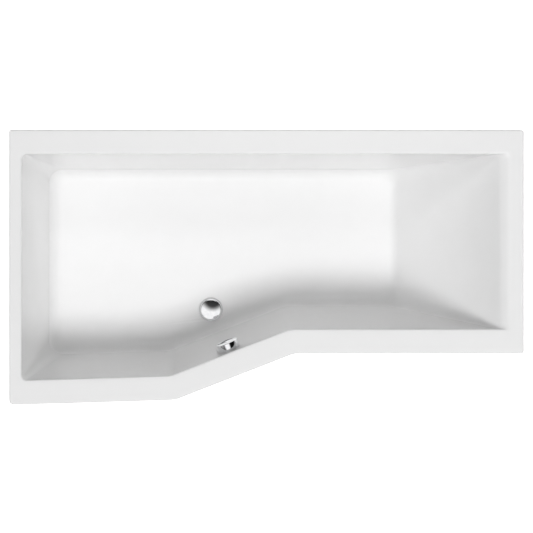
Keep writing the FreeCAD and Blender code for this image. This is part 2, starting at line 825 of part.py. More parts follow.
# Where the rolled edge runs into the dome
ROLL_X = f"{DOME} * {CAP_IN} / ({DOME} - cap_roll)"
ROLL_Z = f"cap_seal_thick + cap_rise - {DOME} + {DOME} * ({DOME} - {CAP_UP}) / ({DOME} - cap_roll)"
cap_profile = [
    ("0", "cap_seal_thick"),
    ("cap_radius - cap_chamfer", "cap_seal_thick"),
    ("cap_radius", "cap_seal_thick + cap_chamfer"),
    ("cap_radius", "cap_seal_thick + cap_edge", "cap_roll"),
    (ROLL_X, ROLL_Z, DOME),
    ("0", "cap_seal_thick + cap_rise"),
]
keep("plug_cap", turned("plug_cap", cap_profile, at_drain()))
keep("plug_seal", ring("plug_seal", "cap_seal_inner", "cap_seal_outer", "0", "cap_seal_thick", at_drain()))
TIP_LOW = "(-lever_axis - lever_back * sin(lever_swing) + lever_tip)"
STEM_LOW = f"({TIP_LOW} + lever_play)"
keep(
    "plug_stem",
    cylinder("plug_stem", "stem_radius", f"cap_seal_thick - {STEM_LOW}", at_drain(0, 0, STEM_LOW)),
)

# Waste body: throat under the floor, dip tube, trap chamber, overflow stub, cable gland and outlet socket
waste_outer = turned(
    "waste_outer",
    [
        ("0", WASTE_TOP),
        ("waste_flange", WASTE_TOP),
        ("waste_flange", f"{WASTE_TOP} - waste_flange_thick"),
        ("throat_radius", f"{WASTE_TOP} - waste_flange_thick"),
        ("throat_radius", "-throat_low"),
        ("chamber_radius", "-throat_low"),
        ("chamber_radius", "-chamber_low"),
        ("dip_radius", "-chamber_low"),
        ("dip_radius", "-dip_low"),
        ("0", "-dip_low"),
    ],
    at_drain(),
)
waste_bore = turned(
    "waste_bore",
    [
        ("0", f"{WASTE_TOP} + overrun"),
        ("sleeve_radius + run_fit", f"{WASTE_TOP} + overrun"),
        ("sleeve_radius + run_fit", "-sleeve_deep"),
        ("throat_bore", "-sleeve_deep"),
        ("throat_bore", "-neck_top"),
        ("dip_bore", "-throat_low - overrun"),
        ("dip_bore", "-dip_low - overrun"),
        ("0", "-dip_low - overrun"),
    ],
    at_drain(),
)
chamber = ring(
    "waste_chamber",
    "dip_radius",
    "chamber_radius - chamber_wall",
    "-chamber_low - overrun",
    "-throat_low - chamber_wall",
    at_drain(),
)


def along_drain(name, radius, start, reach, side, low):
    """A cylinder lying along the drain frame's X axis."""
    return cylinder(name, radius, f"{reach} - ({start})", at_drain(start, side, f"-({low})", QUARTER_TURN))


def outlet_cylinder(name, radius, start, reach):
    """A cylinder lying along the outlet's own direction, towards the wall side."""
    place = at(DRAIN_X, f"{DRAIN_Y} + {start}", f"{FLOOR} - outlet_axis", 0, 0, -QUARTER_TURN)
    return cylinder(name, radius, f"{reach} - ({start})", place)


# Run of the overflow hose and the control cable: level out of the waste, round one bend, up the wall
CABLE_LOW = "lever_axis + lever_crank"
CABLE_X = "cable_side - spigot_side"
CABLE_BACK = "spigot_axis + cable_out"
TURN_SHARE = f"tan(({QUARTER_TURN} - lean_front) / 2)"


def run_points(out_axis, low_axis, bend):
    """The bend's start, its end and the run's top, each (out, up), and the straight length up the wall."""
    top_out = f"({OVER_OUT} + ({out_axis}) * cos(lean_front) - spigot_reach * sin(lean_front))"
    top_up = f"({OVER_UP} - ({out_axis}) * sin(lean_front) - spigot_reach * cos(lean_front))"
    corner = f"({top_out} - ({top_up} + {low_axis}) * tan(lean_front))"
    reach = f"({bend} * {TURN_SHARE})"
    start = (f"({corner} - {reach})", f"-({low_axis})")
    end = (f"({corner} + {reach} * sin(lean_front))", f"-({low_axis}) + {reach} * cos(lean_front)")
    straight = f"(({top_up} + {low_axis}) / cos(lean_front) - {reach})"
    return start, end, (top_out, top_up), straight


HOSE_START, HOSE_END, HOSE_TOP, HOSE_STRAIGHT = run_points("spigot_axis", "stub_axis", "hose_bend")
CABLE_BEND = "(hose_bend + cable_out)"
CABLE_START, CABLE_END, CABLE_TOP, CABLE_STRAIGHT = run_points(CABLE_BACK, CABLE_LOW, CABLE_BEND)
STUB_END = f"({HOSE_START[0]} - hose_lead)"
solids = [
    waste_outer,
    along_drain("stub", "spigot_radius", "throat_bore - overrun", STUB_END, "0", "stub_axis"),
    along_drain("waste_gland", "gland_radius", "throat_bore / 2", STUB_END, "cable_side", CABLE_LOW),
    outlet_cylinder(
        "outlet_socket", "socket_radius", "chamber_radius - chamber_wall - overrun", "socket_reach"
    ),
]
voids = [
    waste_bore,
    chamber,
    along_drain("stub_bore", "spigot_bore", "0", f"{STUB_END} + overrun", "0", "stub_axis"),
    along_drain("waste_wire", "wire_bore", "0", f"{STUB_END} + overrun", "cable_side", CABLE_LOW),
    along_drain(
        "waste_cable_seat",
        "cable_radius + run_fit",
        f"{STUB_END} - gland_radius",
        f"{STUB_END} + overrun",
        "cable_side",
        CABLE_LOW,
    ),
    outlet_cylinder(
        "outlet_socket_bore",
        "outlet_radius - outlet_wall",
        "dip_radius + overrun",
        "socket_reach + overrun",
    ),
    outlet_cylinder(
        "outlet_socket_seat",
        "outlet_radius + run_fit",
        "socket_reach - socket_grip",
        "socket_reach + overrun",
    ),
    cylinder(
        "lever_pin_hole",
        "pin_radius + run_fit",
        "2 * throat_radius + 2 * overrun",
        at_drain("-lever_back", "throat_radius + overrun", "-lever_axis", 0, QUARTER_TURN),
    ),
]
keep("waste_body", cut("waste_body", fuse("waste_solids", solids), fuse("waste_voids", voids)))
bowl_profile = [
    ("0", "-bowl_low"),
    ("bowl_radius - bowl_chamfer", "-bowl_low"),
    ("bowl_radius", "-bowl_low + bowl_chamfer"),
    ("bowl_radius", "-chamber_low - bowl_wall"),
    ("bowl_collar", "-chamber_low - bowl_wall"),
    ("bowl_collar", "-chamber_low + bowl_overlap"),
    ("chamber_radius + run_fit", "-chamber_low + bowl_overlap"),
    ("chamber_radius + run_fit", "-chamber_low"),
    ("bowl_radius - bowl_wall", "-chamber_low"),
    ("bowl_radius - bowl_wall", "-bowl_low + bowl_chamfer"),
    ("bowl_radius - bowl_chamfer", "-bowl_low + bowl_wall"),
    ("0", "-bowl_low + bowl_wall"),
]
keep("trap_bowl", turned("trap_bowl", bowl_profile, at_drain()))
pipe_start = "socket_reach - socket_grip"
outlet_outer = outlet_cylinder("outlet_outer", "outlet_radius", pipe_start, "outlet_reach")
bead_end = "outlet_reach - outlet_spigot"
outlet_bead = outlet_cylinder("outlet_bead", "bead_radius", f"{bead_end} - bead_wide", bead_end)
outlet_bore = outlet_cylinder(
    "outlet_bore", "outlet_radius - outlet_wall", f"{pipe_start} - overrun", "outlet_reach + overrun"
)
keep("outlet_pipe", cut("outlet_pipe", fuse("outlet_tube", [outlet_outer, outlet_bead]), outlet_bore))
nut_start = "socket_reach - outlet_nut_back"
nut_end = f"{nut_start} + outlet_nut_long"
outlet_block = outlet_cylinder("outlet_nut_block", "outlet_nut_radius", nut_start, nut_end)
outlet_seat = outlet_cylinder(
    "outlet_nut_seat", "socket_radius + run_fit", f"{nut_start} - overrun", "socket_reach"
)
outlet_way = outlet_cylinder("outlet_nut_way", "outlet_radius + run_fit", nut_start, f"{nut_end} + overrun")
keep("outlet_nut", cut("outlet_nut", outlet_block, fuse("outlet_nut_cuts", [outlet_seat, outlet_way])))

# Lifting lever on its pin inside the throat, drawn with the plug shut
def lever_part(name, radius, y_low, y_high, x, z):
    return cylinder(name, radius, f"{y_high} - ({y_low})", at_drain(x, y_high, z, 0, QUARTER_TURN))


TIP_X = "(-lever_back + lever_back * cos(lever_swing))"
TIP_Z = "(-lever_axis - lever_back * sin(lever_swing))"
HALF = "lever_thick / 2"
finger = box(
    "lever_finger_arm",
    "lever_back",
    "lever_thick",
    "lever_finger",
    at_drain(
        "-lever_back - lever_finger / 2 * sin(lever_swing)",
        f"-{HALF}",
        "-lever_axis - lever_finger / 2 * cos(lever_swing)",
        "lever_swing",
    ),
)
crank = box(
    "lever_crank_arm",
    "2 * pin_radius",
    "lever_thick",
    "lever_crank",
    at_drain("-lever_back - pin_radius", f"cable_side - {HALF}", "-lever_axis - lever_crank"),
)
lever_solids = [
    lever_part(
        "lever_hub_bar", "lever_hub", f"-{HALF}", f"cable_side + {HALF}", "-lever_back", "-lever_axis"
    ),
    lever_part("lever_tip_roll", "lever_tip", f"-{HALF}", HALF, TIP_X, TIP_Z),
    finger,
    crank,
]
lever_bore = lever_part(
    "lever_bore", "pin_radius + run_fit", "-throat_radius", "throat_radius", "-lever_back", "-lever_axis"
)
keep("lift_lever", cut("lift_lever", fuse("lever_solids", lever_solids), lever_bore))
PIN_HALF = "(throat_radius - pin_radius * 2)"
keep(
    "lever_pin",
    lever_part("lever_pin", "pin_radius", f"-{PIN_HALF}", PIN_HALF, "-lever_back", "-lever_axis"),
)

# Overflow face with its water holes, screws and gasket
face_profile = [
    ("spindle_radius + run_fit", f"-{OUTSIDE}"),
    ("sleeve_turn", f"-{OUTSIDE}"),
    ("sleeve_turn", "0"),
    ("face_radius", "0"),
    ("face_radius", "face_thick"),
    ("sleeve_turn", "face_thick"),
    ("sleeve_turn", "face_thick + sleeve_up"),
    ("spindle_radius + run_fit", "face_thick + sleeve_up"),
]
face = turned("overflow_face", face_profile, at_overflow())
turns = [f"({FULL_TURN} * ({number} + 1 / 2) / {WATER_HOLES})" for number in range(WATER_HOLES)]
spots = [(f"inlet_ring * cos({turn})", f"inlet_ring * sin({turn})", "inlet_hole") for turn in turns]
SCREW_SIDES = ("face_screw_at", "-face_screw_at")
spots = spots + [(side, "0", "face_screw + hole_fit") for side in SCREW_SIDES]
inlets = circles(face, "inlet_holes", "XY_Plane", "face_thick", spots)
pocket(face, "inlet_cut", inlets, "face_thick + overrun")
keep("overflow_face", face)
GASKET_LOW = f"(-{OUTSIDE} - gasket_thick)"
keep(
    "overflow_gasket",
    ring("overflow_gasket", "overflow_hole", "gasket_outer", GASKET_LOW, f"-{OUTSIDE}", at_overflow()),
)
screws = []
for number, side in enumerate(SCREW_SIDES):
    shank = cylinder(
        f"face_screw_shank_{number}",
        "face_screw",
        "face_screw_long",
        at_overflow(side, 0, "face_thick - face_screw_long"),
    )
    head = cylinder(
        f"face_screw_top_{number}", "face_screw_head", "face_screw", at_overflow(side, 0, "face_thick")
    )
    screws.append(fuse(f"face_screw_{number}", [shank, head]))
keep("overflow_screws", fuse("overflow_screws", screws))

# Overflow head behind the wall: flange, cup, spigot for the hose and gland for the cable
CUP_LOW = f"({GASKET_LOW} - cup_deep)"
head_outer = turned(
    "head_outer",
    [
        ("0", GASKET_LOW),
        ("head_flange", GASKET_LOW),
        ("head_flange", f"{GASKET_LOW} - head_flange_thick"),
        ("cup_radius", f"{GASKET_LOW} - head_flange_thick"),
        ("cup_radius", CUP_LOW),
        ("0", CUP_LOW),
    ],
    at_overflow(),
)
head_bore = ring(
    "head_bore",
    "0",
    "cup_radius - cup_wall",
    f"{CUP_LOW} + cup_wall",
    f"{GASKET_LOW} + overrun",
    at_overflow(),
)
bearing = cylinder("head_bearing", "sleeve_turn", "cup_wall + cup_bearing", at_overflow(0, 0, CUP_LOW))
bosses = [
    cylinder(
        f"head_boss_{number}", "boss_radius", f"{GASKET_LOW} - ({CUP_LOW})", at_overflow(side, 0, CUP_LOW)
    )
    for number, side in enumerate(SCREW_SIDES)
]
hollow = cut("head_hollow", head_outer, head_bore)


def down_wall(name, radius, start, reach, x, out):
    """A cylinder lying down the wall behind it."""
    return cylinder(name, radius, f"{reach} - ({start})", at_overflow(x, start, f"-({out})", -QUARTER_TURN))


solids = [
    hollow,
    bearing,
    *bosses,
    down_wall(
        "spigot",
        "spigot_radius",
        "cup_radius - cup_wall - overrun",
        "spigot_reach",
        "-spigot_side",
        "spigot_axis",
    ),
    down_wall(
        "head_gland",
        "gland_radius",
        "cup_radius - cup_wall - overrun / 2",
        "spigot_reach",
        CABLE_X,
        CABLE_BACK,
    ),
]
voids = [
    down_wall(
        "spigot_way",
        "spigot_bore",
        "boss_radius * 2",
        "spigot_reach + overrun",
        "-spigot_side",
        "spigot_axis",
    ),
    down_wall("head_wire", "wire_bore", "boss_radius * 2", "spigot_reach + overrun", CABLE_X, CABLE_BACK),
    down_wall(
        "head_cable_seat",
        "cable_radius + run_fit",
        "spigot_reach - gland_radius",
        "spigot_reach + overrun",
        CABLE_X,
        CABLE_BACK,
    ),
    cylinder(
        "head_spindle_hole",
        "spindle_radius + run_fit",
        "cup_bearing + overrun",
        at_overflow(0, 0, f"{CUP_LOW} + cup_wall"),
    ),
]
for number, side in enumerate(SCREW_SIDES):
    place = at_overflow(side, 0, "face_thick - face_screw_long - overrun")
    voids.append(
        cylinder(f"boss_hole_{number}", "face_screw + run_fit", "face_screw_long + overrun", place)
    )
keep("overflow_head", cut("overflow_head", fuse("head_solids", solids), fuse("head_voids", voids)))

# Spindle with the cable drum, turned by the knob
DRUM_LOW = "-drum_at - drum_wide"
spindle_bar = cylinder(
    "spindle_bar",
    "spindle_radius",
    f"spindle_up - ({CUP_LOW} + cup_wall + run_fit)",
    at_overflow(0, 0, f"{CUP_LOW} + cup_wall + run_fit"),
)
drum = cylinder("drum", "drum_radius", "drum_wide", at_overflow(0, 0, DRUM_LOW))
drum_pin = cylinder(
    "drum_pin", "crank_pin", "drum_wide + crank_pin * 2", at_overflow("crank_at", 0, DRUM_LOW)
)
keep("spindle", fuse("spindle", [spindle_bar, drum, drum_pin]))
KNOB_TOP = "knob_gap + knob_long"
knob_profile = [
    ("0", KNOB_TOP),
    ("knob_radius - knob_chamfer", KNOB_TOP),
    ("knob_radius", f"{KNOB_TOP} - knob_chamfer"),
    ("knob_radius", "knob_gap"),
    ("knob_radius - knob_wall", "knob_gap"),
    ("knob_radius - knob_wall", f"{KNOB_TOP} - knob_face"),
    ("knob_hub", f"{KNOB_TOP} - knob_face"),
    ("knob_hub", f"{KNOB_TOP} - knob_face - knob_hub_long"),
    ("spindle_radius + run_fit", f"{KNOB_TOP} - knob_face - knob_hub_long"),
    ("spindle_radius + run_fit", "spindle_up"),
    ("0", "spindle_up"),
]
keep("overflow_knob", turned("overflow_knob", knob_profile, at_overflow()))

# Overflow hose and control cable, in the upright plane through the drain that is square to the diagonal wall
def swept(name, outer, inner, side, low_axis, points):
    """A round run along points in the drain's frame, hollow when inner is given."""
    body = new_body(name)
    spine = path(body, name + "_route", "XZ_Plane", f"-({side})", points, False)
    rings = [(side, f"-({low_axis})", outer)]
    if inner:
        rings.append((side, f"-({low_axis})", inner))
    profile = circles(body, name + "_ring", "YZ_Plane", STUB_END, rings)
    pipe = body.newObject("PartDesign::AdditivePipe", name + "_run")
    pipe.Profile = profile
    pipe.Spine = spine
    body.setExpression("Placement", at_drain())
    return body


HOSE_ROUTE = [(STUB_END, HOSE_START[1]), (*HOSE_START, "hose_bend"), HOSE_END, HOSE_TOP]
CABLE_ROUTE = [(STUB_END, CABLE_START[1]), (*CABLE_START, CABLE_BEND), CABLE_END, CABLE_TOP]
keep("overflow_hose", swept("overflow_hose", "spigot_radius", "spigot_bore", "0", "stub_axis", HOSE_ROUTE))
cable = swept("control_cable", "cable_radius", "wire_bore", "cable_side", CABLE_LOW, CABLE_ROUTE)
keep("control_cable", cable)


def union_nut(name, make, middle, axis):
    """A ring over the joint of a spigot and the hose."""
    half = "hose_nut_long / 2"
    block = make(name + "_block", "hose_nut", f"{middle} - {half}", f"{middle} + {half}", *axis)
    way = make(
        name + "_way",
        "spigot_radius + run_fit",
        f"{middle} - {half} - overrun",
        f"{middle} + {half} + overrun",
        *axis,
    )
    return cut(name, block, way)


keep("hose_nut_top", union_nut("hose_nut_top", down_wall, "spigot_reach", ("-spigot_side", "spigot_axis")))
keep(
    "hose_nut_low",
    union_nut("hose_nut_low", along_drain, f"{STUB_END} - hose_nut_back", ("0", "stub_axis")),
)

# Clips that hold the cable to the hose
clips = []
for number, share in enumerate(CLIP_SHARES):
    start = f"(spigot_reach + {HOSE_STRAIGHT} * {share})"
    end = f"{start} + clip_long"
    hose_grip = down_wall(
        f"clip_hose_{number}", "spigot_radius + clip_wall", start, end, "-spigot_side", "spigot_axis"
    )
    cable_grip = down_wall(
        f"clip_cable_{number}", "cable_radius + clip_wall", start, end, CABLE_X, CABLE_BACK
    )
    reach = ("spigot_radius + run_fit", f"{start} - overrun", f"{end} + overrun")
    hose_way = down_wall(f"clip_hose_way_{number}", *reach, "-spigot_side", "spigot_axis")
    reach = ("cable_radius + run_fit", f"{start} - overrun", f"{end} + overrun")
    cable_way = down_wall(f"clip_cable_way_{number}", *reach, CABLE_X, CABLE_BACK)
    grip = fuse(f"clip_grip_{number}", [hose_grip, cable_grip])
    clips.append(cut(f"clip_{number}", grip, fuse(f"clip_ways_{number}", [hose_way, cable_way])))
keep("cable_clips", fuse("cable_clips", clips))

# Everything is worked out, checked and written
doc.recompute()
for thing in doc.Objects:
    if "Invalid" in thing.State or "Error" in thing.State:
        raise ValueError(f"{thing.Name} could not be worked out: {thing.State}")
for name, piece in nodes:
    if piece.Shape.isNull() or not piece.Shape.isValid():
        raise ValueError(f"{name} has no sound shape")
    piece.Shape.exportStep(f"parts/{name}.step")
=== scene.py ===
import json
import math

import bmesh
import bpy
from mathutils import Matrix, Vector


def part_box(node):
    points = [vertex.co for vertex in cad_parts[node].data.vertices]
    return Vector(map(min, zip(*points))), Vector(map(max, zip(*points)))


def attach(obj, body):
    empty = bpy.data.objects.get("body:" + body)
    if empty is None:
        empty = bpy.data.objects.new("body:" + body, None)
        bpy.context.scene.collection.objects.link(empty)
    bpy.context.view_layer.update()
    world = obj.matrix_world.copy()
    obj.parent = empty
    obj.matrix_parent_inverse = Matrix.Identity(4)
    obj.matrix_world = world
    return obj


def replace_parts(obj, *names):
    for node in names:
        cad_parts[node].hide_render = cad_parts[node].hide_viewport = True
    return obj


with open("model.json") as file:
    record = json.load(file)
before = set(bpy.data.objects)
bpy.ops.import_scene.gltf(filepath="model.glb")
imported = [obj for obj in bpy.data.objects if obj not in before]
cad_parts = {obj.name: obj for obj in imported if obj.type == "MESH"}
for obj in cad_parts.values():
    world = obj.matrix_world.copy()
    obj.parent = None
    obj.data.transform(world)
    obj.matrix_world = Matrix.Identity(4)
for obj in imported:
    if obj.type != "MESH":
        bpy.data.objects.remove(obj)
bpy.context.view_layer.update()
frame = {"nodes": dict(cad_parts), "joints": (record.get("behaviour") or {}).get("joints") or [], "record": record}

nodes = frame["nodes"]
record = frame["record"]
scene = bpy.context.scene
MM = 0.001
QUARTER = math.pi / 2

# Plan and section of the bath in millimetres and degrees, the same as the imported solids
LENGTH, WIDE, NARROW = 1600, 855, 695
BEND_IN, BEND_OUT, BEND_RADIUS = 87, 284, 80
WIDE_RISE = 15.6
OUTER_CORNER, FOOT_CORNER = 8, 16
WALLS = ("foot", "back", "head", "front")
RIM = {"foot": 34, "back": 70, "head": 32, "front": 71}
LEAN = {"foot": 8, "back": 5, "head": 37, "front": 9.5}
ROLL = {"foot": 5, "back": 5, "head": 60, "front": 5}
RIM_HEIGHT, DEPTH, SHELL = 590, 430, 4
LIP_DROP, LIP_ROLL = 40, 5
COVE, CORNER_TOP, CORNER_FLOOR = 40, 16, 48
FLOOR = RIM_HEIGHT - DEPTH
DIAGONAL = math.atan((WIDE - NARROW - WIDE_RISE) / (BEND_IN + BEND_OUT))
TILT = math.atan(WIDE_RISE / (LENGTH / 2 - BEND_OUT))
FRONT_LEAN = math.radians(LEAN["front"])

# Drain and overflow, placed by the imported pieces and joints
drain_low, drain_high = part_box("plug_cap")
DRAIN = ((drain_low + drain_high) / 2 / MM).xy
AT_DRAIN = Matrix.Translation((DRAIN.x * MM, DRAIN.y * MM, FLOOR * MM))
knob_joint = next(joint for joint in frame["joints"] if joint["name"] == "knob_turn")
UPWARD = Vector((0, 0, 1))
ALONG = Vector((math.cos(DIAGONAL), math.sin(DIAGONAL), 0))
OUTWARD = Vector((math.sin(DIAGONAL), -math.cos(DIAGONAL), 0))
INWARD = -Vector(knob_joint["axis"]).normalized()
DOWN = INWARD.cross(ALONG)
AT_OVERFLOW = Matrix((ALONG, DOWN, INWARD)).transposed().to_4x4()
AT_OVERFLOW.translation = Vector(knob_joint["pos_m"])


def linear(code):
    """An sRGB hex colour as linear values."""
    values = [int(code[i : i + 2], 16) / 255 for i in (1, 3, 5)]
    return (*(v / 12.92 if v <= 0.04045 else ((v + 0.055) / 1.055) ** 2.4 for v in values), 1)


def add(tree, kind, inputs=None, stops=(), **settings):
    """Adds a node with its settings and links.

    An input is a constant, a node's output, a node for its first output, or a list of nodes that join.
    """
    node = tree.nodes.new(kind)
    for key, value in settings.items():
        setattr(node, key, value)
    for i, (position, code) in enumerate(stops):
        node.color_ramp.elements[i].position = position
        node.color_ramp.elements[i].color = linear(code)
    for key, given in (inputs or {}).items():
        for value in given if isinstance(given, list) else [given]:
            if isinstance(value, bpy.types.Node):
                value = value.outputs[0]
            if isinstance(value, bpy.types.NodeSocket):
                tree.links.new(value, node.inputs[key])
            else:
                node.inputs[key].default_value = value
    return node


def per_metre(size_mm):
    """Texture scale whose pattern repeats about every so many millimetres."""
    return 1 / (size_mm * MM)


def stretched(along, across):
    """Texture scales of a pattern longer along the first axis than across it, in millimetres."""
    return per_metre(along), per_metre(across), per_metre(across)


def new_finish(name):
    """A new material, its empty node tree and the object's own coordinates."""
    material = bpy.data.materials.new(name)
    material.use_nodes = True
    tree = material.node_tree
    tree.nodes.clear()
    return material, tree, add(tree, "ShaderNodeTexCoord").outputs["Object"]


# Finishes, with the size and depth of each pattern in millimetres
# Sanitary acrylic, vacuum formed: bright neutral white with a wet gloss, faintly uneven from the forming
WAVE_SIZE, PEEL_SIZE, PEEL_DEEP = 60, 4, 0.05


def sanitary_acrylic():
    material, tree, place = new_finish("sanitary_acrylic")
    wave = add(tree, "ShaderNodeTexNoise", {"Vector": place, "Scale": per_metre(WAVE_SIZE), "Detail": 2.0})
    peel = add(tree, "ShaderNodeTexNoise", {"Vector": place, "Scale": per_metre(PEEL_SIZE), "Detail": 1.0})
    tint = add(tree, "ShaderNodeValToRGB", {"Fac": wave}, stops=((0.3, "#F4F4F4"), (0.7, "#F5F5F5")))
    rough = add(tree, "ShaderNodeMapRange", {"Value": wave, "To Min": 0.04, "To Max": 0.06})
    bump = add(tree, "ShaderNodeBump", {"Height": peel, "Strength": 0.02, "Distance": PEEL_DEEP * MM})
    look = {"Base Color": tint, "Roughness": rough, "Normal": bump, "IOR": 1.49}
    add(tree, "ShaderNodeOutputMaterial", {"Surface": add(tree, "ShaderNodeBsdfPrincipled", look)})
    return material


# Sprayed glass-fibre laminate: ivory resin, faintly cloudy, over chopped strands that stand up under it
# The strands cross two ways on the floor, the long sides and the ends, by these turns in radians
STRAND_TURNS = ((0, 0, 0.5), (0, 0, 2.1), (0, 0.6, 0), (0, 2.2, 0), (0.7, 0, 1.57), (2.3, 0, 1.57))
# Length and width of a strand, drawn twice as wide as a real one so that it shows
STRAND_SIZE, STRAND_DEEP, CLOUD_SIZE = (26, 1.6), 0.9, 140


def glass_laminate():
    material, tree, place = new_finish("glass_fibre_laminate")
    mat = None
    for turn in STRAND_TURNS:
        laid = add(tree, "ShaderNodeMapping", {"Vector": place, "Rotation": turn})
        thin = add(tree, "ShaderNodeMapping", {"Vector": laid, "Scale": stretched(*STRAND_SIZE)})
        strand = add(tree, "ShaderNodeTexNoise", {"Vector": thin, "Scale": 1.0, "Detail": 1.0})
        mat = add(tree, "ShaderNodeMath", {0: mat, 1: strand}, operation="MAXIMUM") if mat else strand
    cloud = add(tree, "ShaderNodeTexNoise", {"Vector": place, "Scale": per_metre(CLOUD_SIZE), "Detail": 2.0})
    shift = add(tree, "ShaderNodeMapRange", {"Value": cloud, "To Min": -0.04, "To Max": 0.04})
    both = add(tree, "ShaderNodeMath", {0: mat, 1: shift})
    tint = add(tree, "ShaderNodeValToRGB", {"Fac": both}, stops=((0.52, "#C4C2B6"), (0.8, "#EFEEE8")))
    rough = add(tree, "ShaderNodeMapRange", {"Value": mat, "To Min": 0.3, "To Max": 0.6})
    bump = add(tree, "ShaderNodeBump", {"Height": mat, "Strength": 0.6, "Distance": STRAND_DEEP * MM})
    look = {"Base Color": tint, "Roughness": rough, "Normal": bump, "IOR": 1.53}
    add(tree, "ShaderNodeOutputMaterial", {"Surface": add(tree, "ShaderNodeBsdfPrincipled", look)})
    return material


# Chipboard, pressed and raw: pale chips of several browns a few millimetres wide, dusty and dry
# Size of a chip along X, Y and Z
CHIP_SIZE, CHIP_DEEP, DUST_SIZE = (5, 3, 1.2), 0.4, 1.5


def chipboard():
    material, tree, place = new_finish("raw_chipboard")
    flat = tuple(per_metre(size) for size in CHIP_SIZE)
    pressed = add(tree, "ShaderNodeMapping", {"Vector": place, "Scale": flat})
    chips = add(tree, "ShaderNodeTexVoronoi", {"Vector": pressed, "Scale": 1.0})
    dust = add(tree, "ShaderNodeTexNoise", {"Vector": place, "Scale": per_metre(DUST_SIZE), "Detail": 3.0})
    chip = add(tree, "ShaderNodeSeparateColor", {"Color": chips.outputs["Color"]})
    mixed = add(tree, "ShaderNodeMath", {0: chip, 1: dust}, operation="MULTIPLY")
    tint = add(tree, "ShaderNodeValToRGB", {"Fac": mixed}, stops=((0.05, "#9A7549"), (0.6, "#DFC596")))
    rough = add(tree, "ShaderNodeMapRange", {"Value": dust, "To Min": 0.75, "To Max": 0.95})
    bump = add(tree, "ShaderNodeBump", {"Height": chips, "Strength": 0.5, "Distance": CHIP_DEEP * MM})
    look = {"Base Color": tint, "Roughness": rough, "Normal": bump}
    add(tree, "ShaderNodeOutputMaterial", {"Surface": add(tree, "ShaderNodeBsdfPrincipled", look)})
    return material


# Planed softwood: straight honey grain, early wood pale and late wood darker, lying along the batten
# Length and width of the growth rings' drift and of a fibre, and the number of rings in one drift
DRIFT_SIZE, FIBRE_SIZE, FIBRE_DEEP = (220, 9), (30, 0.6), 0.2
RING_COUNT = 9.0


def planed_softwood(name, turn):
    material, tree, place = new_finish(name)
    laid = add(tree, "ShaderNodeMapping", {"Vector": place, "Rotation": (0, 0, -turn)})
    long = add(tree, "ShaderNodeMapping", {"Vector": laid, "Scale": stretched(*DRIFT_SIZE)})
    drift = add(tree, "ShaderNodeTexNoise", {"Vector": long, "Scale": 1.0, "Detail": 2.0})
    rings = add(tree, "ShaderNodeMath", {0: drift, 1: RING_COUNT}, operation="MULTIPLY")
    band = add(tree, "ShaderNodeMath", {0: rings}, operation="FRACT")
    thin = add(tree, "ShaderNodeMapping", {"Vector": laid, "Scale": stretched(*FIBRE_SIZE)})
    fibre = add(tree, "ShaderNodeTexNoise", {"Vector": thin, "Scale": 1.0, "Detail": 2.0})
    grain = add(tree, "ShaderNodeMath", {0: band, 1: fibre}, operation="MULTIPLY")
    tint = add(tree, "ShaderNodeValToRGB", {"Fac": grain}, stops=((0.1, "#E0C08C"), (0.7, "#B98B52")))
    rough = add(tree, "ShaderNodeMapRange", {"Value": fibre, "To Min": 0.55, "To Max": 0.8})
    bump = add(tree, "ShaderNodeBump", {"Height": fibre, "Strength": 0.25, "Distance": FIBRE_DEEP * MM})
    look = {"Base Color": tint, "Roughness": rough, "Normal": bump}
    add(tree, "ShaderNodeOutputMaterial", {"Surface": add(tree, "ShaderNodeBsdfPrincipled", look)})
    return material


# Zinc plate on pressed steel: soft grey metal with a cloudy spangle and a fine grain
SPANGLE_SIZE, ZINC_GRAIN, ZINC_DEEP = 7, 0.8, 0.1


def zinc_plate():
    material, tree, place = new_finish("zinc_plated_steel")
    cells = {"Vector": place, "Scale": per_metre(SPANGLE_SIZE)}
    spangle = add(tree, "ShaderNodeTexVoronoi", cells, feature="SMOOTH_F1")
    fine = add(tree, "ShaderNodeTexNoise", {"Vector": place, "Scale": per_metre(ZINC_GRAIN), "Detail": 2.0})
    tint = add(tree, "ShaderNodeValToRGB", {"Fac": spangle}, stops=((0.1, "#C6CACE"), (0.7, "#AEB3B8")))
    rough = add(tree, "ShaderNodeMapRange", {"Value": spangle, "To Min": 0.28, "To Max": 0.42})
    bump = add(tree, "ShaderNodeBump", {"Height": fine, "Strength": 0.08, "Distance": ZINC_DEEP * MM})
    look = {"Base Color": tint, "Roughness": rough, "Normal": bump, "Metallic": 1.0}
    add(tree, "ShaderNodeOutputMaterial", {"Surface": add(tree, "ShaderNodeBsdfPrincipled", look)})
    return material


# Polished chrome plate: a bluish mirror with the faintest wiping haze
HAZE_SIZE = 9


def polished_chrome():
    material, tree, place = new_finish("polished_chrome")
    haze = add(tree, "ShaderNodeTexNoise", {"Vector": place, "Scale": per_metre(HAZE_SIZE), "Detail": 3.0})
    tint = add(tree, "ShaderNodeValToRGB", {"Fac": haze}, stops=((0.3, "#EDEEF0"), (0.7, "#F6F6F7")))
    rough = add(tree, "ShaderNodeMapRange", {"Value": haze, "To Min": 0.03, "To Max": 0.07})
    look = {"Base Color": tint, "Roughness": rough, "Metallic": 1.0}
    add(tree, "ShaderNodeOutputMaterial", {"Surface": add(tree, "ShaderNodeBsdfPrincipled", look)})
    return material


# Moulded plastics and rubber: slight mottling, and the fine texture of the mould
MOTTLE_SIZE, GRIT_DEEP = 14, 0.2


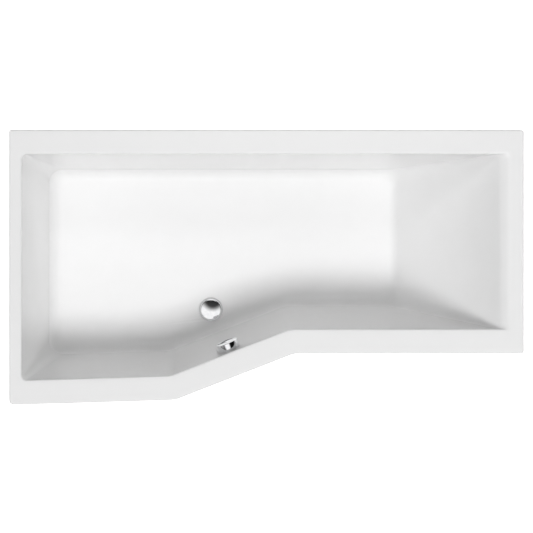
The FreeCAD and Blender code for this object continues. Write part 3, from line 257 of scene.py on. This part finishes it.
def moulded(name, tints, roughness, grit, strength):
    """A finish between two tints and two roughnesses, with the mould's grit in millimetres."""
    material, tree, place = new_finish(name)
    spots = {"Vector": place, "Scale": per_metre(MOTTLE_SIZE), "Detail": 3.0}
    mottle = add(tree, "ShaderNodeTexNoise", spots)
    grain = add(tree, "ShaderNodeTexNoise", {"Vector": place, "Scale": per_metre(grit), "Detail": 2.0})
    tint = add(tree, "ShaderNodeValToRGB", {"Fac": mottle}, stops=zip((0.3, 0.7), tints))
    least, most = roughness
    rough = add(tree, "ShaderNodeMapRange", {"Value": mottle, "To Min": least, "To Max": most})
    bump = add(tree, "ShaderNodeBump", {"Height": grain, "Strength": strength, "Distance": GRIT_DEEP * MM})
    look = {"Base Color": tint, "Roughness": rough, "Normal": bump, "IOR": 1.5}
    add(tree, "ShaderNodeOutputMaterial", {"Surface": add(tree, "ShaderNodeBsdfPrincipled", look)})
    return material


# Turned brass: warm yellow metal with fine lathe lines round an upright stem and a little tarnish
# Size of a line along X, Y and Z
LATHE_SIZE, LATHE_DEEP, STAIN_SIZE = (40, 40, 0.5), 0.1, 8


def turned_brass():
    material, tree, place = new_finish("turned_brass")
    fine = tuple(per_metre(size) for size in LATHE_SIZE)
    lathe = add(tree, "ShaderNodeMapping", {"Vector": place, "Scale": fine})
    cut = add(tree, "ShaderNodeTexNoise", {"Vector": lathe, "Scale": 1.0, "Detail": 1.0})
    stain = add(tree, "ShaderNodeTexNoise", {"Vector": place, "Scale": per_metre(STAIN_SIZE), "Detail": 3.0})
    tint = add(tree, "ShaderNodeValToRGB", {"Fac": stain}, stops=((0.3, "#A98643"), (0.7, "#D8BC70")))
    rough = add(tree, "ShaderNodeMapRange", {"Value": cut, "To Min": 0.2, "To Max": 0.42})
    bump = add(tree, "ShaderNodeBump", {"Height": cut, "Strength": 0.15, "Distance": LATHE_DEEP * MM})
    look = {"Base Color": tint, "Roughness": rough, "Normal": bump, "Metallic": 1.0}
    add(tree, "ShaderNodeOutputMaterial", {"Surface": add(tree, "ShaderNodeBsdfPrincipled", look)})
    return material


FINISHES = {
    "acrylic": sanitary_acrylic(),
    "laminate": glass_laminate(),
    "chipboard": chipboard(),
    "timber": planed_softwood("planed_softwood", 0),
    "zinc_steel": zinc_plate(),
    "chrome": polished_chrome(),
    # Polypropylene, moulded: off-white with a soft sheen
    "white_plastic": moulded(
        "white_polypropylene", ("#DCDCD8", "#E8E8E5"), (0.32, 0.48), grit=0.8, strength=0.12
    ),
    # Glass-filled nylon, moulded: near black with a dry sheen and a fine grain
    "black_plastic": moulded("black_nylon", ("#17181A", "#222326"), (0.4, 0.6), grit=1.0, strength=0.2),
    # Nitrile rubber, moulded: matt black with a dusty bloom
    "rubber": moulded("nitrile_rubber", ("#101011", "#1B1B1C"), (0.65, 0.85), grit=0.6, strength=0.2),
    "brass": turned_brass(),
    # Polyethylene sheath, extruded: pale grey, smooth and waxy
    "cable_sheath": moulded(
        "polyethylene_sheath", ("#B4B6B8", "#C2C4C6"), (0.3, 0.45), grit=1.2, strength=0.08
    ),
}
TURNED_TIMBER = {
    "rim_batten_diagonal": planed_softwood("planed_softwood_diagonal", DIAGONAL),
    "rim_batten_wide": planed_softwood("planed_softwood_wide", TILT),
}
SLOTS = {part["node"]: part["material_slot"] for part in record["subparts"]}
BODIES = {node: body for body, members in record["behaviour"]["bodies"].items() for node in members}
for name, piece in nodes.items():
    piece.data.materials.clear()
    piece.data.materials.append(TURNED_TIMBER.get(name, FINISHES[SLOTS[name]]))


# Mesh helpers
def new_mesh(name, points, faces):
    """A mesh from points in millimetres, with its faces turned outwards."""
    mesh = bpy.data.meshes.new(name)
    mesh.from_pydata([Vector(point) * MM for point in points], [], faces)
    shape = bmesh.new()
    shape.from_mesh(mesh)
    bmesh.ops.recalc_face_normals(shape, faces=shape.faces[:])
    shape.to_mesh(mesh)
    shape.free()
    return mesh


def new_object(name, data):
    """A new object in the scene."""
    made = bpy.data.objects.new(name, data)
    scene.collection.objects.link(made)
    return made


def smoothed(mesh, degrees):
    """Smooth shading with the edges sharper than an angle kept crisp."""
    for face in mesh.polygons:
        face.use_smooth = True
    mesh.set_sharp_from_angle(angle=math.radians(degrees))


def worked_out(piece):
    """Works a piece's modifiers out into its plain mesh and removes them."""
    bpy.context.view_layer.update()
    graph = bpy.context.evaluated_depsgraph_get()
    mesh = bpy.data.meshes.new_from_object(piece.evaluated_get(graph), depsgraph=graph)
    piece.modifiers.clear()
    piece.data = mesh


def levels(start, end, steps):
    """Values spaced evenly up to an end, without the start."""
    return [start + (end - start) * step / steps for step in range(1, steps + 1)]


def softened(profile, radii, steps, share):
    """A profile with each corner rounded by its own radius, but only so far along the sides beside it."""
    made = []
    count = len(profile)
    for i, point in enumerate(profile):
        here = Vector(point)
        if not radii[i]:
            made.append(here)
            continue
        before, after = Vector(profile[i - 1]) - here, Vector(profile[(i + 1) % count]) - here
        back, on = before.normalized(), after.normalized()
        angle = before.angle(after)
        reach = min(radii[i] / math.tan(angle / 2), before.length * share, after.length * share)
        radius = reach * math.tan(angle / 2)
        middle = here + (back + on).normalized() * (radius / math.sin(angle / 2))
        first, last = here + back * reach - middle, here + on * reach - middle
        sweep = first.angle_signed(last)
        for step in range(steps + 1):
            made.append(middle + Matrix.Rotation(-sweep * step / steps, 2) @ first)
    return made


# Sides of a turned piece, more where it shows close up, and the radius under which a point is on the axis
ROUND, FINE_ROUND = 96, 128
ON_AXIS = 1e-6


def turned_piece(name, profile, place, segments):
    """A piece from a closed profile (radius, height), turned about its axis and set in its place."""
    points, faces, rings = [], [], []
    for radius, height in profile:
        start = len(points)
        if radius < ON_AXIS:
            points.append((0, 0, height))
            rings.append([start] * segments)
            continue
        for step in range(segments):
            turn = 2 * math.pi * step / segments
            points.append((radius * math.cos(turn), radius * math.sin(turn), height))
        rings.append(list(range(start, start + segments)))
    for i, ring in enumerate(rings):
        following = rings[(i + 1) % len(rings)]
        for step in range(segments):
            ahead = (step + 1) % segments
            corners = [ring[step], ring[ahead], following[ahead], following[step]]
            corners = list(dict.fromkeys(corners))
            if len(corners) > 2:
                faces.append(corners)
    mesh = new_mesh(name, points, faces)
    mesh.transform(place)
    return new_object(name, mesh)


def cut_out(piece, *tools):
    """Cuts tools out of a piece and removes them."""
    for tool in tools:
        change = piece.modifiers.new("cut", "BOOLEAN")
        change.operation = "DIFFERENCE"
        change.solver = "EXACT"
        change.object = tool
    worked_out(piece)
    for tool in tools:
        bpy.data.objects.remove(tool)


def seated(piece, node, degrees):
    """Shading, material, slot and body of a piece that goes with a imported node."""
    smoothed(piece.data, degrees)
    piece.data.materials.clear()
    piece.data.materials.append(FINISHES[SLOTS[node]])
    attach(piece, BODIES[node])
    return piece


def dressed(piece, node, degrees):
    """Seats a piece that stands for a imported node."""
    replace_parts(seated(piece, node, degrees), node)


# Outline of the bath at any inset, as a loop with the same number of points each time
# Steps of each corner, and of the wide front, diagonal, narrow front, head, back and foot sides
CORNER_STEPS = 12
SIDE_STEPS = (16, 14, 18, 20, 40, 22)


def corners_at(foot, back, head, front):
    """Corners of the plan with its sides moved in, from the front corner of the wide end."""
    half, open_half = (DIAGONAL + TILT) / 2, (DIAGONAL - TILT) / 2
    left, right = -LENGTH / 2 + foot, LENGTH / 2 - head
    low = WIDE / 2 - NARROW + front
    return [
        (left, -WIDE / 2 + front / math.cos(TILT) + foot * math.tan(TILT)),
        (
            -BEND_OUT - front * math.sin(half) / math.cos(open_half),
            -WIDE / 2 + WIDE_RISE + front * math.cos(half) / math.cos(open_half),
        ),
        (BEND_IN - front * math.tan(DIAGONAL / 2), low),
        (right, low),
        (right, WIDE / 2 - back),
        (left, WIDE / 2 - back),
    ]


def outline(corners, radii, height):
    """The rounded loop through corners, at a height."""
    spots = [Vector(corner) for corner in corners]
    count = len(spots)
    arcs = []
    for i, spot in enumerate(spots):
        arrive = (spot - spots[i - 1]).normalized()
        leave = (spots[(i + 1) % count] - spot).normalized()
        turn = math.atan2(arrive.x * leave.y - arrive.y * leave.x, arrive.dot(leave))
        first = spot - arrive * radii[i] * math.tan(abs(turn) / 2)
        side = Vector((-arrive.y, arrive.x)) * (1 if turn > 0 else -1)
        middle = first + side * radii[i]
        shares = [step / CORNER_STEPS for step in range(CORNER_STEPS + 1)]
        arcs.append([middle + Matrix.Rotation(turn * share, 2) @ (first - middle) for share in shares])
    loop = []
    for i, arc in enumerate(arcs):
        loop += arc
        ahead = arcs[(i + 1) % count][0]
        steps = SIDE_STEPS[i]
        loop += [arc[-1].lerp(ahead, step / steps) for step in range(1, steps)]
    return [(point.x, point.y, height) for point in loop]


def inset(wall, depth, grow):
    """How far a wall has come in at a depth, for the face that lies grow outside the basin."""
    lean, roll = math.radians(LEAN[wall]), ROLL[wall]
    slope = math.tan(lean)
    start = roll * math.cos(lean) - roll * (1 - math.sin(lean)) * slope
    if (not grow or wall == "head") and depth < roll - (roll - grow) * math.sin(lean):
        return math.sqrt(abs((roll - grow) ** 2 - (roll - depth) ** 2))
    if depth > DEPTH - COVE + (COVE + grow) * math.sin(lean):
        foot = start + (DEPTH - COVE * (1 - math.sin(lean))) * slope + COVE * math.cos(lean)
        return foot - math.sqrt(abs((COVE + grow) ** 2 - (depth - DEPTH + COVE) ** 2))
    return start + depth * slope - grow / math.cos(lean)


def basin_loop(depth, grow):
    """The basin's loop at a depth, or the loop that lies grow outside it."""
    corner = CORNER_TOP + (CORNER_FLOOR - CORNER_TOP) * min(depth, DEPTH) / DEPTH + grow
    widths = [RIM[wall] + inset(wall, depth, grow) for wall in WALLS]
    radii = [corner, BEND_RADIUS, BEND_RADIUS, corner, corner, corner]
    return outline(corners_at(*widths), radii, RIM_HEIGHT - depth)


def rim_loop(in_by, height, outer):
    """The rim's outer loop, moved in evenly, at a height."""
    corner = outer - in_by
    radii = [FOOT_CORNER - in_by, BEND_RADIUS - in_by, BEND_RADIUS + in_by, corner, corner, corner]
    return outline(corners_at(in_by, in_by, in_by, in_by), radii, height)


def joined(first, last, steps):
    """Loops spaced evenly from one loop up to another, without the last."""
    made = [first]
    for step in range(1, steps):
        made.append([tuple(Vector(a).lerp(Vector(b), step / steps)) for a, b in zip(first, last)])
    return made


# Acrylic shell: lip, rolled rim, basin and floor as one closed skin, then the drain and overflow holes
NECK_END = ROLL["head"] * (1 - math.sin(math.radians(LEAN["head"])))
LIP_STEPS, LIP_ROLL_STEPS, RIM_STEPS = 5, 8, 7
EDGE_STEPS, NECK_STEPS, WALL_STEPS, COVE_STEPS = 10, 8, 24, 18
UNDER_LIP_STEPS, UNDER_NECK_STEPS, UNDER_WALL_STEPS, UNDER_COVE_STEPS = 4, 6, 12, 10
SHELL_CRISP = 28
RECESS_RADIUS, RECESS_DEEP, RECESS_SOFT = 40, 2.5, 0.5
DRAIN_HOLE, OVERFLOW_HOLE = 26, 26
# How far each cutting tool runs below and above its seat
DRAIN_CUT = (-3 * SHELL, SHELL)
OVERFLOW_CUT = (-4 * SHELL, 3 * SHELL)


def top_loops():
    """The side that shows: up the lip, over the rim, down the walls and round the cove to the floor."""
    lip_top = rim_loop(0, RIM_HEIGHT - LIP_ROLL, OUTER_CORNER)
    loops = joined(rim_loop(0, RIM_HEIGHT - LIP_DROP, OUTER_CORNER), lip_top, LIP_STEPS) + [lip_top]
    for turn in levels(0, QUARTER, LIP_ROLL_STEPS):
        in_by, rise = LIP_ROLL * (1 - math.cos(turn)), LIP_ROLL * math.sin(turn)
        loops.append(rim_loop(in_by, RIM_HEIGHT - LIP_ROLL + rise, OUTER_CORNER))
    loops += joined(loops[-1], basin_loop(0, 0), RIM_STEPS)[1:]
    edge = [0] + [ROLL["front"] * (1 - math.cos(turn)) for turn in levels(0, QUARTER, EDGE_STEPS)]
    neck = levels(edge[-1], NECK_END, NECK_STEPS)
    wall = levels(NECK_END, DEPTH - COVE, WALL_STEPS)
    cove = [DEPTH - COVE * (1 - math.sin(turn)) for turn in levels(0, QUARTER, COVE_STEPS)]
    return loops + [basin_loop(depth, 0) for depth in edge + neck + wall + cove]


def under_loops():
    """The hidden side, one thickness of the shell inside the lip and under the rim and walls."""
    corner = OUTER_CORNER + SHELL / 2
    lip_top = rim_loop(SHELL, RIM_HEIGHT - SHELL, corner)
    loops = joined(rim_loop(SHELL, RIM_HEIGHT - LIP_DROP, corner), lip_top, UNDER_LIP_STEPS) + [lip_top]
    neck = levels(SHELL, NECK_END, UNDER_NECK_STEPS)
    wall = levels(NECK_END, DEPTH - COVE, UNDER_WALL_STEPS)
    turns = levels(0, QUARTER, UNDER_COVE_STEPS)
    cove = [DEPTH - COVE + (COVE + SHELL) * math.sin(turn) for turn in turns]
    return loops + [basin_loop(depth, SHELL) for depth in [SHELL] + neck + wall + cove]


def closed_skin(name, top, under):
    """One mesh through the loops of both sides, with a floor in each and a band along their lips."""
    count = len(top[0])
    points, faces = [], []
    for sheet in (top, under):
        start = len(points)
        for loop in sheet:
            points += loop
        for level in range(len(sheet) - 1):
            for i in range(count):
                a, b = start + level * count + i, start + level * count + (i + 1) % count
                faces.append((a, b, b + count, a + count))
        last = start + (len(sheet) - 1) * count
        faces.append(tuple(range(last, last + count)))
    lower = len(top) * count
    faces += [(i, (i + 1) % count, lower + (i + 1) % count, lower + i) for i in range(count)]
    return new_mesh(name, points, faces)


def drill(name, radius, run, place):
    """A round tool that cuts a hole."""
    low, high = run
    return turned_piece(name, [(0, low), (radius, low), (radius, high), (0, high)], place, ROUND)


def bath_shell():
    """The whole shell, with a recess and a hole at the drain and a hole at the overflow."""
    shell = new_object("bath_shell", closed_skin("bath_shell", top_loops(), under_loops()))
    recess = [
        (0, -RECESS_DEEP),
        (RECESS_RADIUS, -RECESS_DEEP),
        (RECESS_RADIUS, -RECESS_SOFT),
        (RECESS_RADIUS + RECESS_SOFT, 0),
        (RECESS_RADIUS + RECESS_SOFT * 2, RECESS_SOFT),
        (0, RECESS_SOFT),
    ]
    cut_out(
        shell,
        turned_piece("recess_tool", recess, AT_DRAIN, FINE_ROUND),
        drill("drain_tool", DRAIN_HOLE, DRAIN_CUT, AT_DRAIN),
        drill("overflow_tool", OVERFLOW_HOLE, OVERFLOW_CUT, AT_OVERFLOW),
    )
    dressed(shell, "tub_shell", SHELL_CRISP)


# Domed plug cap over the drain, on its seal
CAP_RADIUS, CAP_SEAL, CAP_RISE = 36, 1.5, 7.8
CAP_EDGE, CAP_ROLL, CAP_CHAMFER = 0.5, 5.2, 0.5
CAP_ROLL_STEPS, CAP_DOME_STEPS, CAP_CRISP = 12, 32, 40


def plug_dome():
    """A shallow dome that rolls over into a short upright edge."""
    inner, rise, top = CAP_RADIUS - CAP_ROLL, CAP_RISE - CAP_EDGE, CAP_SEAL + CAP_RISE
    dome = (inner**2 + rise**2 - CAP_ROLL**2) / (2 * (rise - CAP_ROLL))
    edge = math.asin(inner / (dome - CAP_ROLL))
    chamfer = CAP_SEAL + CAP_CHAMFER
    profile = [(0, CAP_SEAL), (CAP_RADIUS - CAP_CHAMFER, CAP_SEAL), (CAP_RADIUS, chamfer)]
    for turn in levels(QUARTER, edge, CAP_ROLL_STEPS)[:-1]:
        across, up = CAP_ROLL * math.sin(turn), CAP_ROLL * math.cos(turn)
        profile.append((inner + across, CAP_SEAL + CAP_EDGE + up))
    for turn in [edge] + levels(edge, 0, CAP_DOME_STEPS):
        profile.append((dome * math.sin(turn), top - dome * (1 - math.cos(turn))))
    dressed(turned_piece("plug_dome", profile, AT_DRAIN, FINE_ROUND), "plug_cap", CAP_CRISP)


# Overflow knob: a hollow cup with a hub that takes the spindle
KNOB_RADIUS, KNOB_GAP, KNOB_LONG = 34, 2, 23
KNOB_WALL, KNOB_FACE, KNOB_EDGE = 2.5, 3, 1.6
KNOB_HUB, KNOB_HUB_LONG = 8.5, 11
SPINDLE_HOLE, SPINDLE_UP = 5.05, 18
KNOB_EDGE_STEPS, KNOB_SIDE_SHARE, KNOB_CRISP = 5, 0.49, 50


def control_knob():
    """The knob with its outer and inner edges rounded."""
    top = KNOB_GAP + KNOB_LONG
    inner, under_face = KNOB_RADIUS - KNOB_WALL, top - KNOB_FACE
    half_edge = KNOB_EDGE / 2
    # Each corner of the profile with the radius that rounds it
    corners = [
        ((0, top), 0),
        ((KNOB_RADIUS, top), KNOB_EDGE),
        ((KNOB_RADIUS, KNOB_GAP), half_edge),
        ((inner, KNOB_GAP), half_edge),
        ((inner, under_face), KNOB_EDGE),
        ((KNOB_HUB, under_face), KNOB_EDGE),
        ((KNOB_HUB, under_face - KNOB_HUB_LONG), 0),
        ((SPINDLE_HOLE, under_face - KNOB_HUB_LONG), 0),
        ((SPINDLE_HOLE, SPINDLE_UP), 0),
        ((0, SPINDLE_UP), 0),
    ]
    profile = softened(*zip(*corners), KNOB_EDGE_STEPS, KNOB_SIDE_SHARE)
    dressed(turned_piece("control_knob", profile, AT_OVERFLOW, FINE_ROUND), "overflow_knob", KNOB_CRISP)


bath_shell()
plug_dome()
control_knob()


# Pieces that repeat or follow a path
def node_tree(name, inputs):
    """An empty geometry tree with named inputs, and the outputs of its input node."""
    tree = bpy.data.node_groups.new(name, "GeometryNodeTree")
    tree.interface.new_socket("Geometry", in_out="INPUT", socket_type="NodeSocketGeometry")
    for label, kind in inputs.items():
        tree.interface.new_socket(label, in_out="INPUT", socket_type=f"NodeSocket{kind}")
    tree.interface.new_socket("Geometry", in_out="OUTPUT", socket_type="NodeSocketGeometry")
    return tree, add(tree, "NodeGroupInput").outputs


def finish_tree(tree, shape, material):
    """Ends a tree with its copies made real and its material set."""
    whole = add(tree, "GeometryNodeRealizeInstances", {"Geometry": shape})
    painted = add(tree, "GeometryNodeSetMaterial", {"Geometry": whole, "Material": material})
    add(tree, "NodeGroupOutput", {"Geometry": painted})
    return tree


def grown(piece, tree, values):
    """Works a geometry tree out on a piece and leaves its plain mesh."""
    change = piece.modifiers.new(tree.name, "NODES")
    change.node_group = tree
    for item in tree.interface.items_tree:
        if item.in_out == "INPUT" and item.name in values:
            change[item.identifier] = values[item.name]
    worked_out(piece)


# Ribbed overflow hose: level out of the waste, round one bend, up the wall to the overflow head
SPIGOT_SIDE, SPIGOT_REACH, SPIGOT_AXIS = 18, 62, 31
STUB_AXIS = 34
HOSE_BEND, HOSE_LEAD = 40, 3.5
HOSE_PITCH, HOSE_ROOT, HOSE_CREST = 4, 13.4, 15
HOSE_BEND_STEPS, HOSE_SIDE_SHARE, HOSE_CRISP = 24, 1.0, 70
HOSE_SIDES, RINGS_PER_RIB = 32, 8.0


def ribbed_tree():
    """A round run along a line whose radius swells and shrinks once each pitch."""
    inputs = {"Pitch": "Float", "Root": "Float", "Crest": "Float", "Material": "Material"}
    tree, given = node_tree("ribbed_run", inputs)
    line = add(tree, "GeometryNodeMeshToCurve", {"Mesh": given["Geometry"]})
    step = add(tree, "ShaderNodeMath", {0: given["Pitch"], 1: RINGS_PER_RIB}, operation="DIVIDE")
    spaced = add(tree, "GeometryNodeResampleCurve", {"Curve": line, "Length": step}, mode="LENGTH")
    run = add(tree, "GeometryNodeSplineParameter").outputs["Length"]
    turns = add(tree, "ShaderNodeMath", {0: run, 1: given["Pitch"]}, operation="DIVIDE")
    angle = add(tree, "ShaderNodeMath", {0: turns, 1: 2 * math.pi}, operation="MULTIPLY")
    wave = add(tree, "ShaderNodeMath", {0: angle}, operation="SINE")
    swell = {"Value": wave, "From Min": -1.0, "To Min": given["Root"], "To Max": given["Crest"]}
    radius = add(tree, "ShaderNodeMapRange", swell)
    ring = add(tree, "GeometryNodeCurvePrimitiveCircle", {"Resolution": HOSE_SIDES, "Radius": 1.0})
    sweep = {"Curve": spaced, "Profile Curve": ring, "Scale": radius, "Fill Caps": True}
    return finish_tree(tree, add(tree, "GeometryNodeCurveToMesh", sweep), given["Material"])


def overflow_hose():
    """The hose along its route from the waste's stub to the overflow's spigot."""
    spigot = Vector((-SPIGOT_SIDE, SPIGOT_REACH, -SPIGOT_AXIS))
    top = AT_OVERFLOW @ (spigot * MM) / MM
    out = (top.xy - DRAIN).dot(OUTWARD.xy)
    rise = top.z - FLOOR + STUB_AXIS
    corner = out - rise * math.tan(FRONT_LEAN)
    lead = HOSE_BEND * math.tan((QUARTER - FRONT_LEAN) / 2) + HOSE_LEAD
    route = [(corner - lead, 0), (corner, 0), (out, rise)]
    flat = softened(route, [0, HOSE_BEND, 0], HOSE_BEND_STEPS, HOSE_SIDE_SHARE)
    base = Vector((DRAIN.x, DRAIN.y, FLOOR - STUB_AXIS))
    points = [(base + OUTWARD * spot.x + UPWARD * spot.y) * MM for spot in flat]
    line = bpy.data.meshes.new("hose_line")
    line.from_pydata(points, [(i, i + 1) for i in range(len(points) - 1)], [])
    hose = new_object("ribbed_hose", line)
    sizes = {"Pitch": HOSE_PITCH * MM, "Root": HOSE_ROOT * MM, "Crest": HOSE_CREST * MM}
    grown(hose, ribbed_tree(), sizes | {"Material": FINISHES["white_plastic"]})
    dressed(hose, "overflow_hose", HOSE_CRISP)


# Threaded foot studs, metric coarse
FEET = 4
STUD_RADIUS, STUD_PITCH, STUD_RIDGE = 5, 1.5, 0.55
STUD_SIDES, STEPS_PER_TURN, RIDGE_SIDES, STUD_CRISP = 32, 20, 6, 40


def thread_tree():
    """A threaded bar: a core with a rounded ridge wound round it."""
    sizes = {"Length": "Float", "Radius": "Float", "Pitch": "Float", "Ridge": "Float"}
    tree, given = node_tree("threaded_bar", sizes | {"Material": "Material"})
    wound = add(tree, "ShaderNodeMath", {0: given["Length"], 1: given["Pitch"]}, operation="SUBTRACT")
    turns = add(tree, "ShaderNodeMath", {0: wound, 1: given["Pitch"]}, operation="DIVIDE")
    middle = add(tree, "ShaderNodeMath", {0: given["Radius"], 1: given["Ridge"]}, operation="SUBTRACT")
    coil = {"Resolution": STEPS_PER_TURN, "Rotations": turns, "Height": wound}
    coil |= {"Start Radius": middle, "End Radius": middle}
    spiral = add(tree, "GeometryNodeCurveSpiral", coil)
    section = {"Resolution": RIDGE_SIDES, "Radius": given["Ridge"]}
    ring = add(tree, "GeometryNodeCurvePrimitiveCircle", section)
    sweep = {"Curve": spiral, "Profile Curve": ring, "Fill Caps": True}
    ridge = add(tree, "GeometryNodeCurveToMesh", sweep)
    bar = {"Vertices": STUD_SIDES, "Radius": middle, "Depth": given["Length"]}
    core = add(tree, "GeometryNodeMeshCylinder", bar)
    raised = []
    # The core stands on its end, and the ridge starts half a pitch above that
    for shape, length in ((core, given["Length"]), (ridge, given["Pitch"])):
        rise = add(tree, "ShaderNodeMath", {0: length, 1: 2.0}, operation="DIVIDE")
        shift = add(tree, "ShaderNodeCombineXYZ", {"Z": rise})
        raised.append(add(tree, "GeometryNodeTransform", {"Geometry": shape, "Translation": shift}))
    both = add(tree, "GeometryNodeJoinGeometry", {"Geometry": raised})
    return finish_tree(tree, both, given["Material"])


def foot_studs():
    """A threaded stud in the place of each packed one."""
    tree = thread_tree()
    for foot in range(1, FEET + 1):
        node = f"foot_stud_{foot}"
        low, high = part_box(node)
        stud = new_object(f"threaded_stud_{foot}", bpy.data.meshes.new(node))
        sizes = {"Length": high.z - low.z, "Radius": STUD_RADIUS * MM, "Pitch": STUD_PITCH * MM}
        grown(stud, tree, sizes | {"Ridge": STUD_RIDGE * MM, "Material": FINISHES["zinc_steel"]})
        stud.data.transform(Matrix.Translation(((low.x + high.x) / 2, (low.y + high.y) / 2, low.z)))
        dressed(stud, node, STUD_CRISP)


# Grip ribs moulded round the union nuts and the trap's bowl
# For each: how many, the radius that they stand on, their length and the axis that they lie along
GRIP_WIDE, GRIP_SIDES, GRIP_CRISP = 2.2, 12, 40
BOWL_COLLAR = 21.5
HOSE_GRIP = (18, 17.5, 13)
HOSE_UP = OUTWARD * math.sin(FRONT_LEAN) + UPWARD * math.cos(FRONT_LEAN)
GRIPS = {
    "hose_nut_top": (*HOSE_GRIP, HOSE_UP),
    "hose_nut_low": (*HOSE_GRIP, OUTWARD),
    "outlet_nut": (28, 29, 18, Vector((0, 1, 0))),
    "trap_bowl": (44, 51, 16, UPWARD),
}


def rib_tree():
    """Round ribs stood round a circle, half sunk in the piece that carries them."""
    sizes = {"Count": "Int", "Radius": "Float", "Length": "Float", "Width": "Float"}
    tree, given = node_tree("grip_ribs", sizes | {"Material": "Material"})
    ring = add(tree, "GeometryNodeMeshCircle", {"Vertices": given["Count"], "Radius": given["Radius"]})
    half = add(tree, "ShaderNodeMath", {0: given["Width"], 1: 2.0}, operation="DIVIDE")
    bar = {"Vertices": GRIP_SIDES, "Radius": half, "Depth": given["Length"]}
    rib = add(tree, "GeometryNodeMeshCylinder", bar)
    ribs = add(tree, "GeometryNodeInstanceOnPoints", {"Points": ring, "Instance": rib})
    return finish_tree(tree, ribs, given["Material"])


def grip_ribs():
    """A ring of ribs on each nut, and on the bowl's collar alone."""
    tree = rib_tree()
    for node, (count, radius, length, axis) in GRIPS.items():
        low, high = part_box(node)
        place = axis.to_track_quat("Z", "Y").to_matrix().to_4x4()
        place.translation = (low + high) / 2
        if node == "trap_bowl":
            place.translation.z = high.z - BOWL_COLLAR / 2 * MM
        ribs = new_object(f"grip_{node}", bpy.data.meshes.new(node))
        sizes = {"Count": count, "Radius": radius * MM, "Length": length * MM, "Width": GRIP_WIDE * MM}
        grown(ribs, tree, sizes | {"Material": FINISHES[SLOTS[node]]})
        ribs.data.transform(place)
        seated(ribs, node, GRIP_CRISP)


overflow_hose()
foot_studs()
grip_ribs()

# Pale floor in millimetres, low enough for the feet at their longest
FLOOR_HALF, FLOOR_DROP = 40000, 31
# Each patch of the sky: the way to it, half its width in degrees and how it multiplies the sky's light,
# so that a dark flag is under one and a bright patch over one
SKY_PATCHES = (
    ((0.035, 0.245, 0.969), 20, 0.05),
    ((0.80, -0.03, 0.60), 36, 0.04),
    ((-0.05, -0.24, 0.97), 34, 10.2),
    ((0, 0, -1), 88, 8.3),
    ((-0.88, 0, 0.47), 40, 4.2),
)
# Light of the bare sky, and the share of a patch's width that has its full strength
SKY_POWER, SKY_CORE_SHARE = 0.1, 0.45
# Each soft box: place, aim, width and height in metres, power in watts, and whether it lights the matt
# side of surfaces or only shows in their gloss
SOFT_BOXES = {
    "front_box": ((1.5, -5.6, 16.2), (0, 0, 0.4), 9.0, 3.8, 1640, "diffuse"),
    "rear_box": ((0.0, 0.95, 1.65), (0, 0.3, 0.59), 1.6, 0.2, 2.5, "diffuse"),
    "end_box": ((7.6, 0.2, 3.4), (-0.6, 0, 0.4), 3.0, 3.0, 80, "diffuse"),
    "wall_box": ((-0.05, 2.95, 5.2), (-0.05, 2.95, 0), 2.2, 3.5, 28, "glossy"),
}


# Light table: matt white sheet lit from below
def stage_floor():
    signs = ((-1, -1), (1, -1), (1, 1), (-1, 1))
    corners = [(x * FLOOR_HALF, y * FLOOR_HALF, -FLOOR_DROP) for x, y in signs]
    floor = new_object("studio_floor", new_mesh("studio_floor", corners, [(0, 1, 2, 3)]))
    material, tree, _ = new_finish("light_table")
    look = {"Base Color": linear("#F4F4F4"), "Roughness": 0.9}
    look |= {"Emission Color": linear("#FFFFFF"), "Emission Strength": 0.95}
    add(tree, "ShaderNodeOutputMaterial", {"Surface": add(tree, "ShaderNodeBsdfPrincipled", look)})
    floor.data.materials.append(material)
    floor.visible_diffuse = False


def studio_sky():
    """An even sky with soft-edged flags and patches."""
    world = bpy.data.worlds.new("studio_sky")
    world.use_nodes = True
    tree = world.node_tree
    tree.nodes.clear()
    way = add(tree, "ShaderNodeTexCoord").outputs["Generated"]
    light = SKY_POWER
    for toward, reach, factor in SKY_PATCHES:
        facing = {0: way, 1: Vector(toward).normalized()}
        spot = add(tree, "ShaderNodeVectorMath", facing, operation="DOT_PRODUCT").outputs["Value"]
        edge, core = math.cos(math.radians(reach)), math.cos(math.radians(reach * SKY_CORE_SHARE))
        fade = {"Value": spot, "From Min": edge, "From Max": core, "To Min": 1.0, "To Max": factor}
        patch = add(tree, "ShaderNodeMapRange", fade, interpolation_type="SMOOTHSTEP")
        light = add(tree, "ShaderNodeMath", {0: light, 1: patch}, operation="MULTIPLY")
    sky = add(tree, "ShaderNodeBackground", {"Color": linear("#FFFFFF"), "Strength": light})
    add(tree, "ShaderNodeOutputWorld", {"Surface": sky})
    scene.world = world


def soft_box(name, place, aim, wide, tall, power, shown):
    """A soft box that either lights the matt side of surfaces or only shows in their gloss."""
    lamp = bpy.data.lights.new(name, "AREA")
    lamp.shape = "RECTANGLE"
    lamp.size, lamp.size_y, lamp.energy = wide, tall, power
    light = new_object(name, lamp)
    light.location = place
    light.rotation_euler = (Vector(aim) - Vector(place)).to_track_quat("-Z", "Y").to_euler()
    light.visible_camera = False
    light.visible_glossy = shown == "glossy"
    light.visible_diffuse = shown == "diffuse"


# Camera straight above: sensor and lens in millimetres, the end of its view and its place in metres
SENSOR, LENS, VIEW_END = 36, 189.3, 100
EYE = (0, 0.003, 9.296)


def plan_camera():
    """The camera that looks down on the bath."""
    camera = bpy.data.cameras.new("plan_view")
    camera.sensor_width, camera.lens, camera.clip_end = SENSOR, LENS, VIEW_END
    scene.camera = new_object("plan_view", camera)
    scene.camera.location = EYE


stage_floor()
studio_sky()
for name, settings in SOFT_BOXES.items():
    soft_box(name, *settings)
plan_camera()
scene.view_settings.view_transform = "Standard"
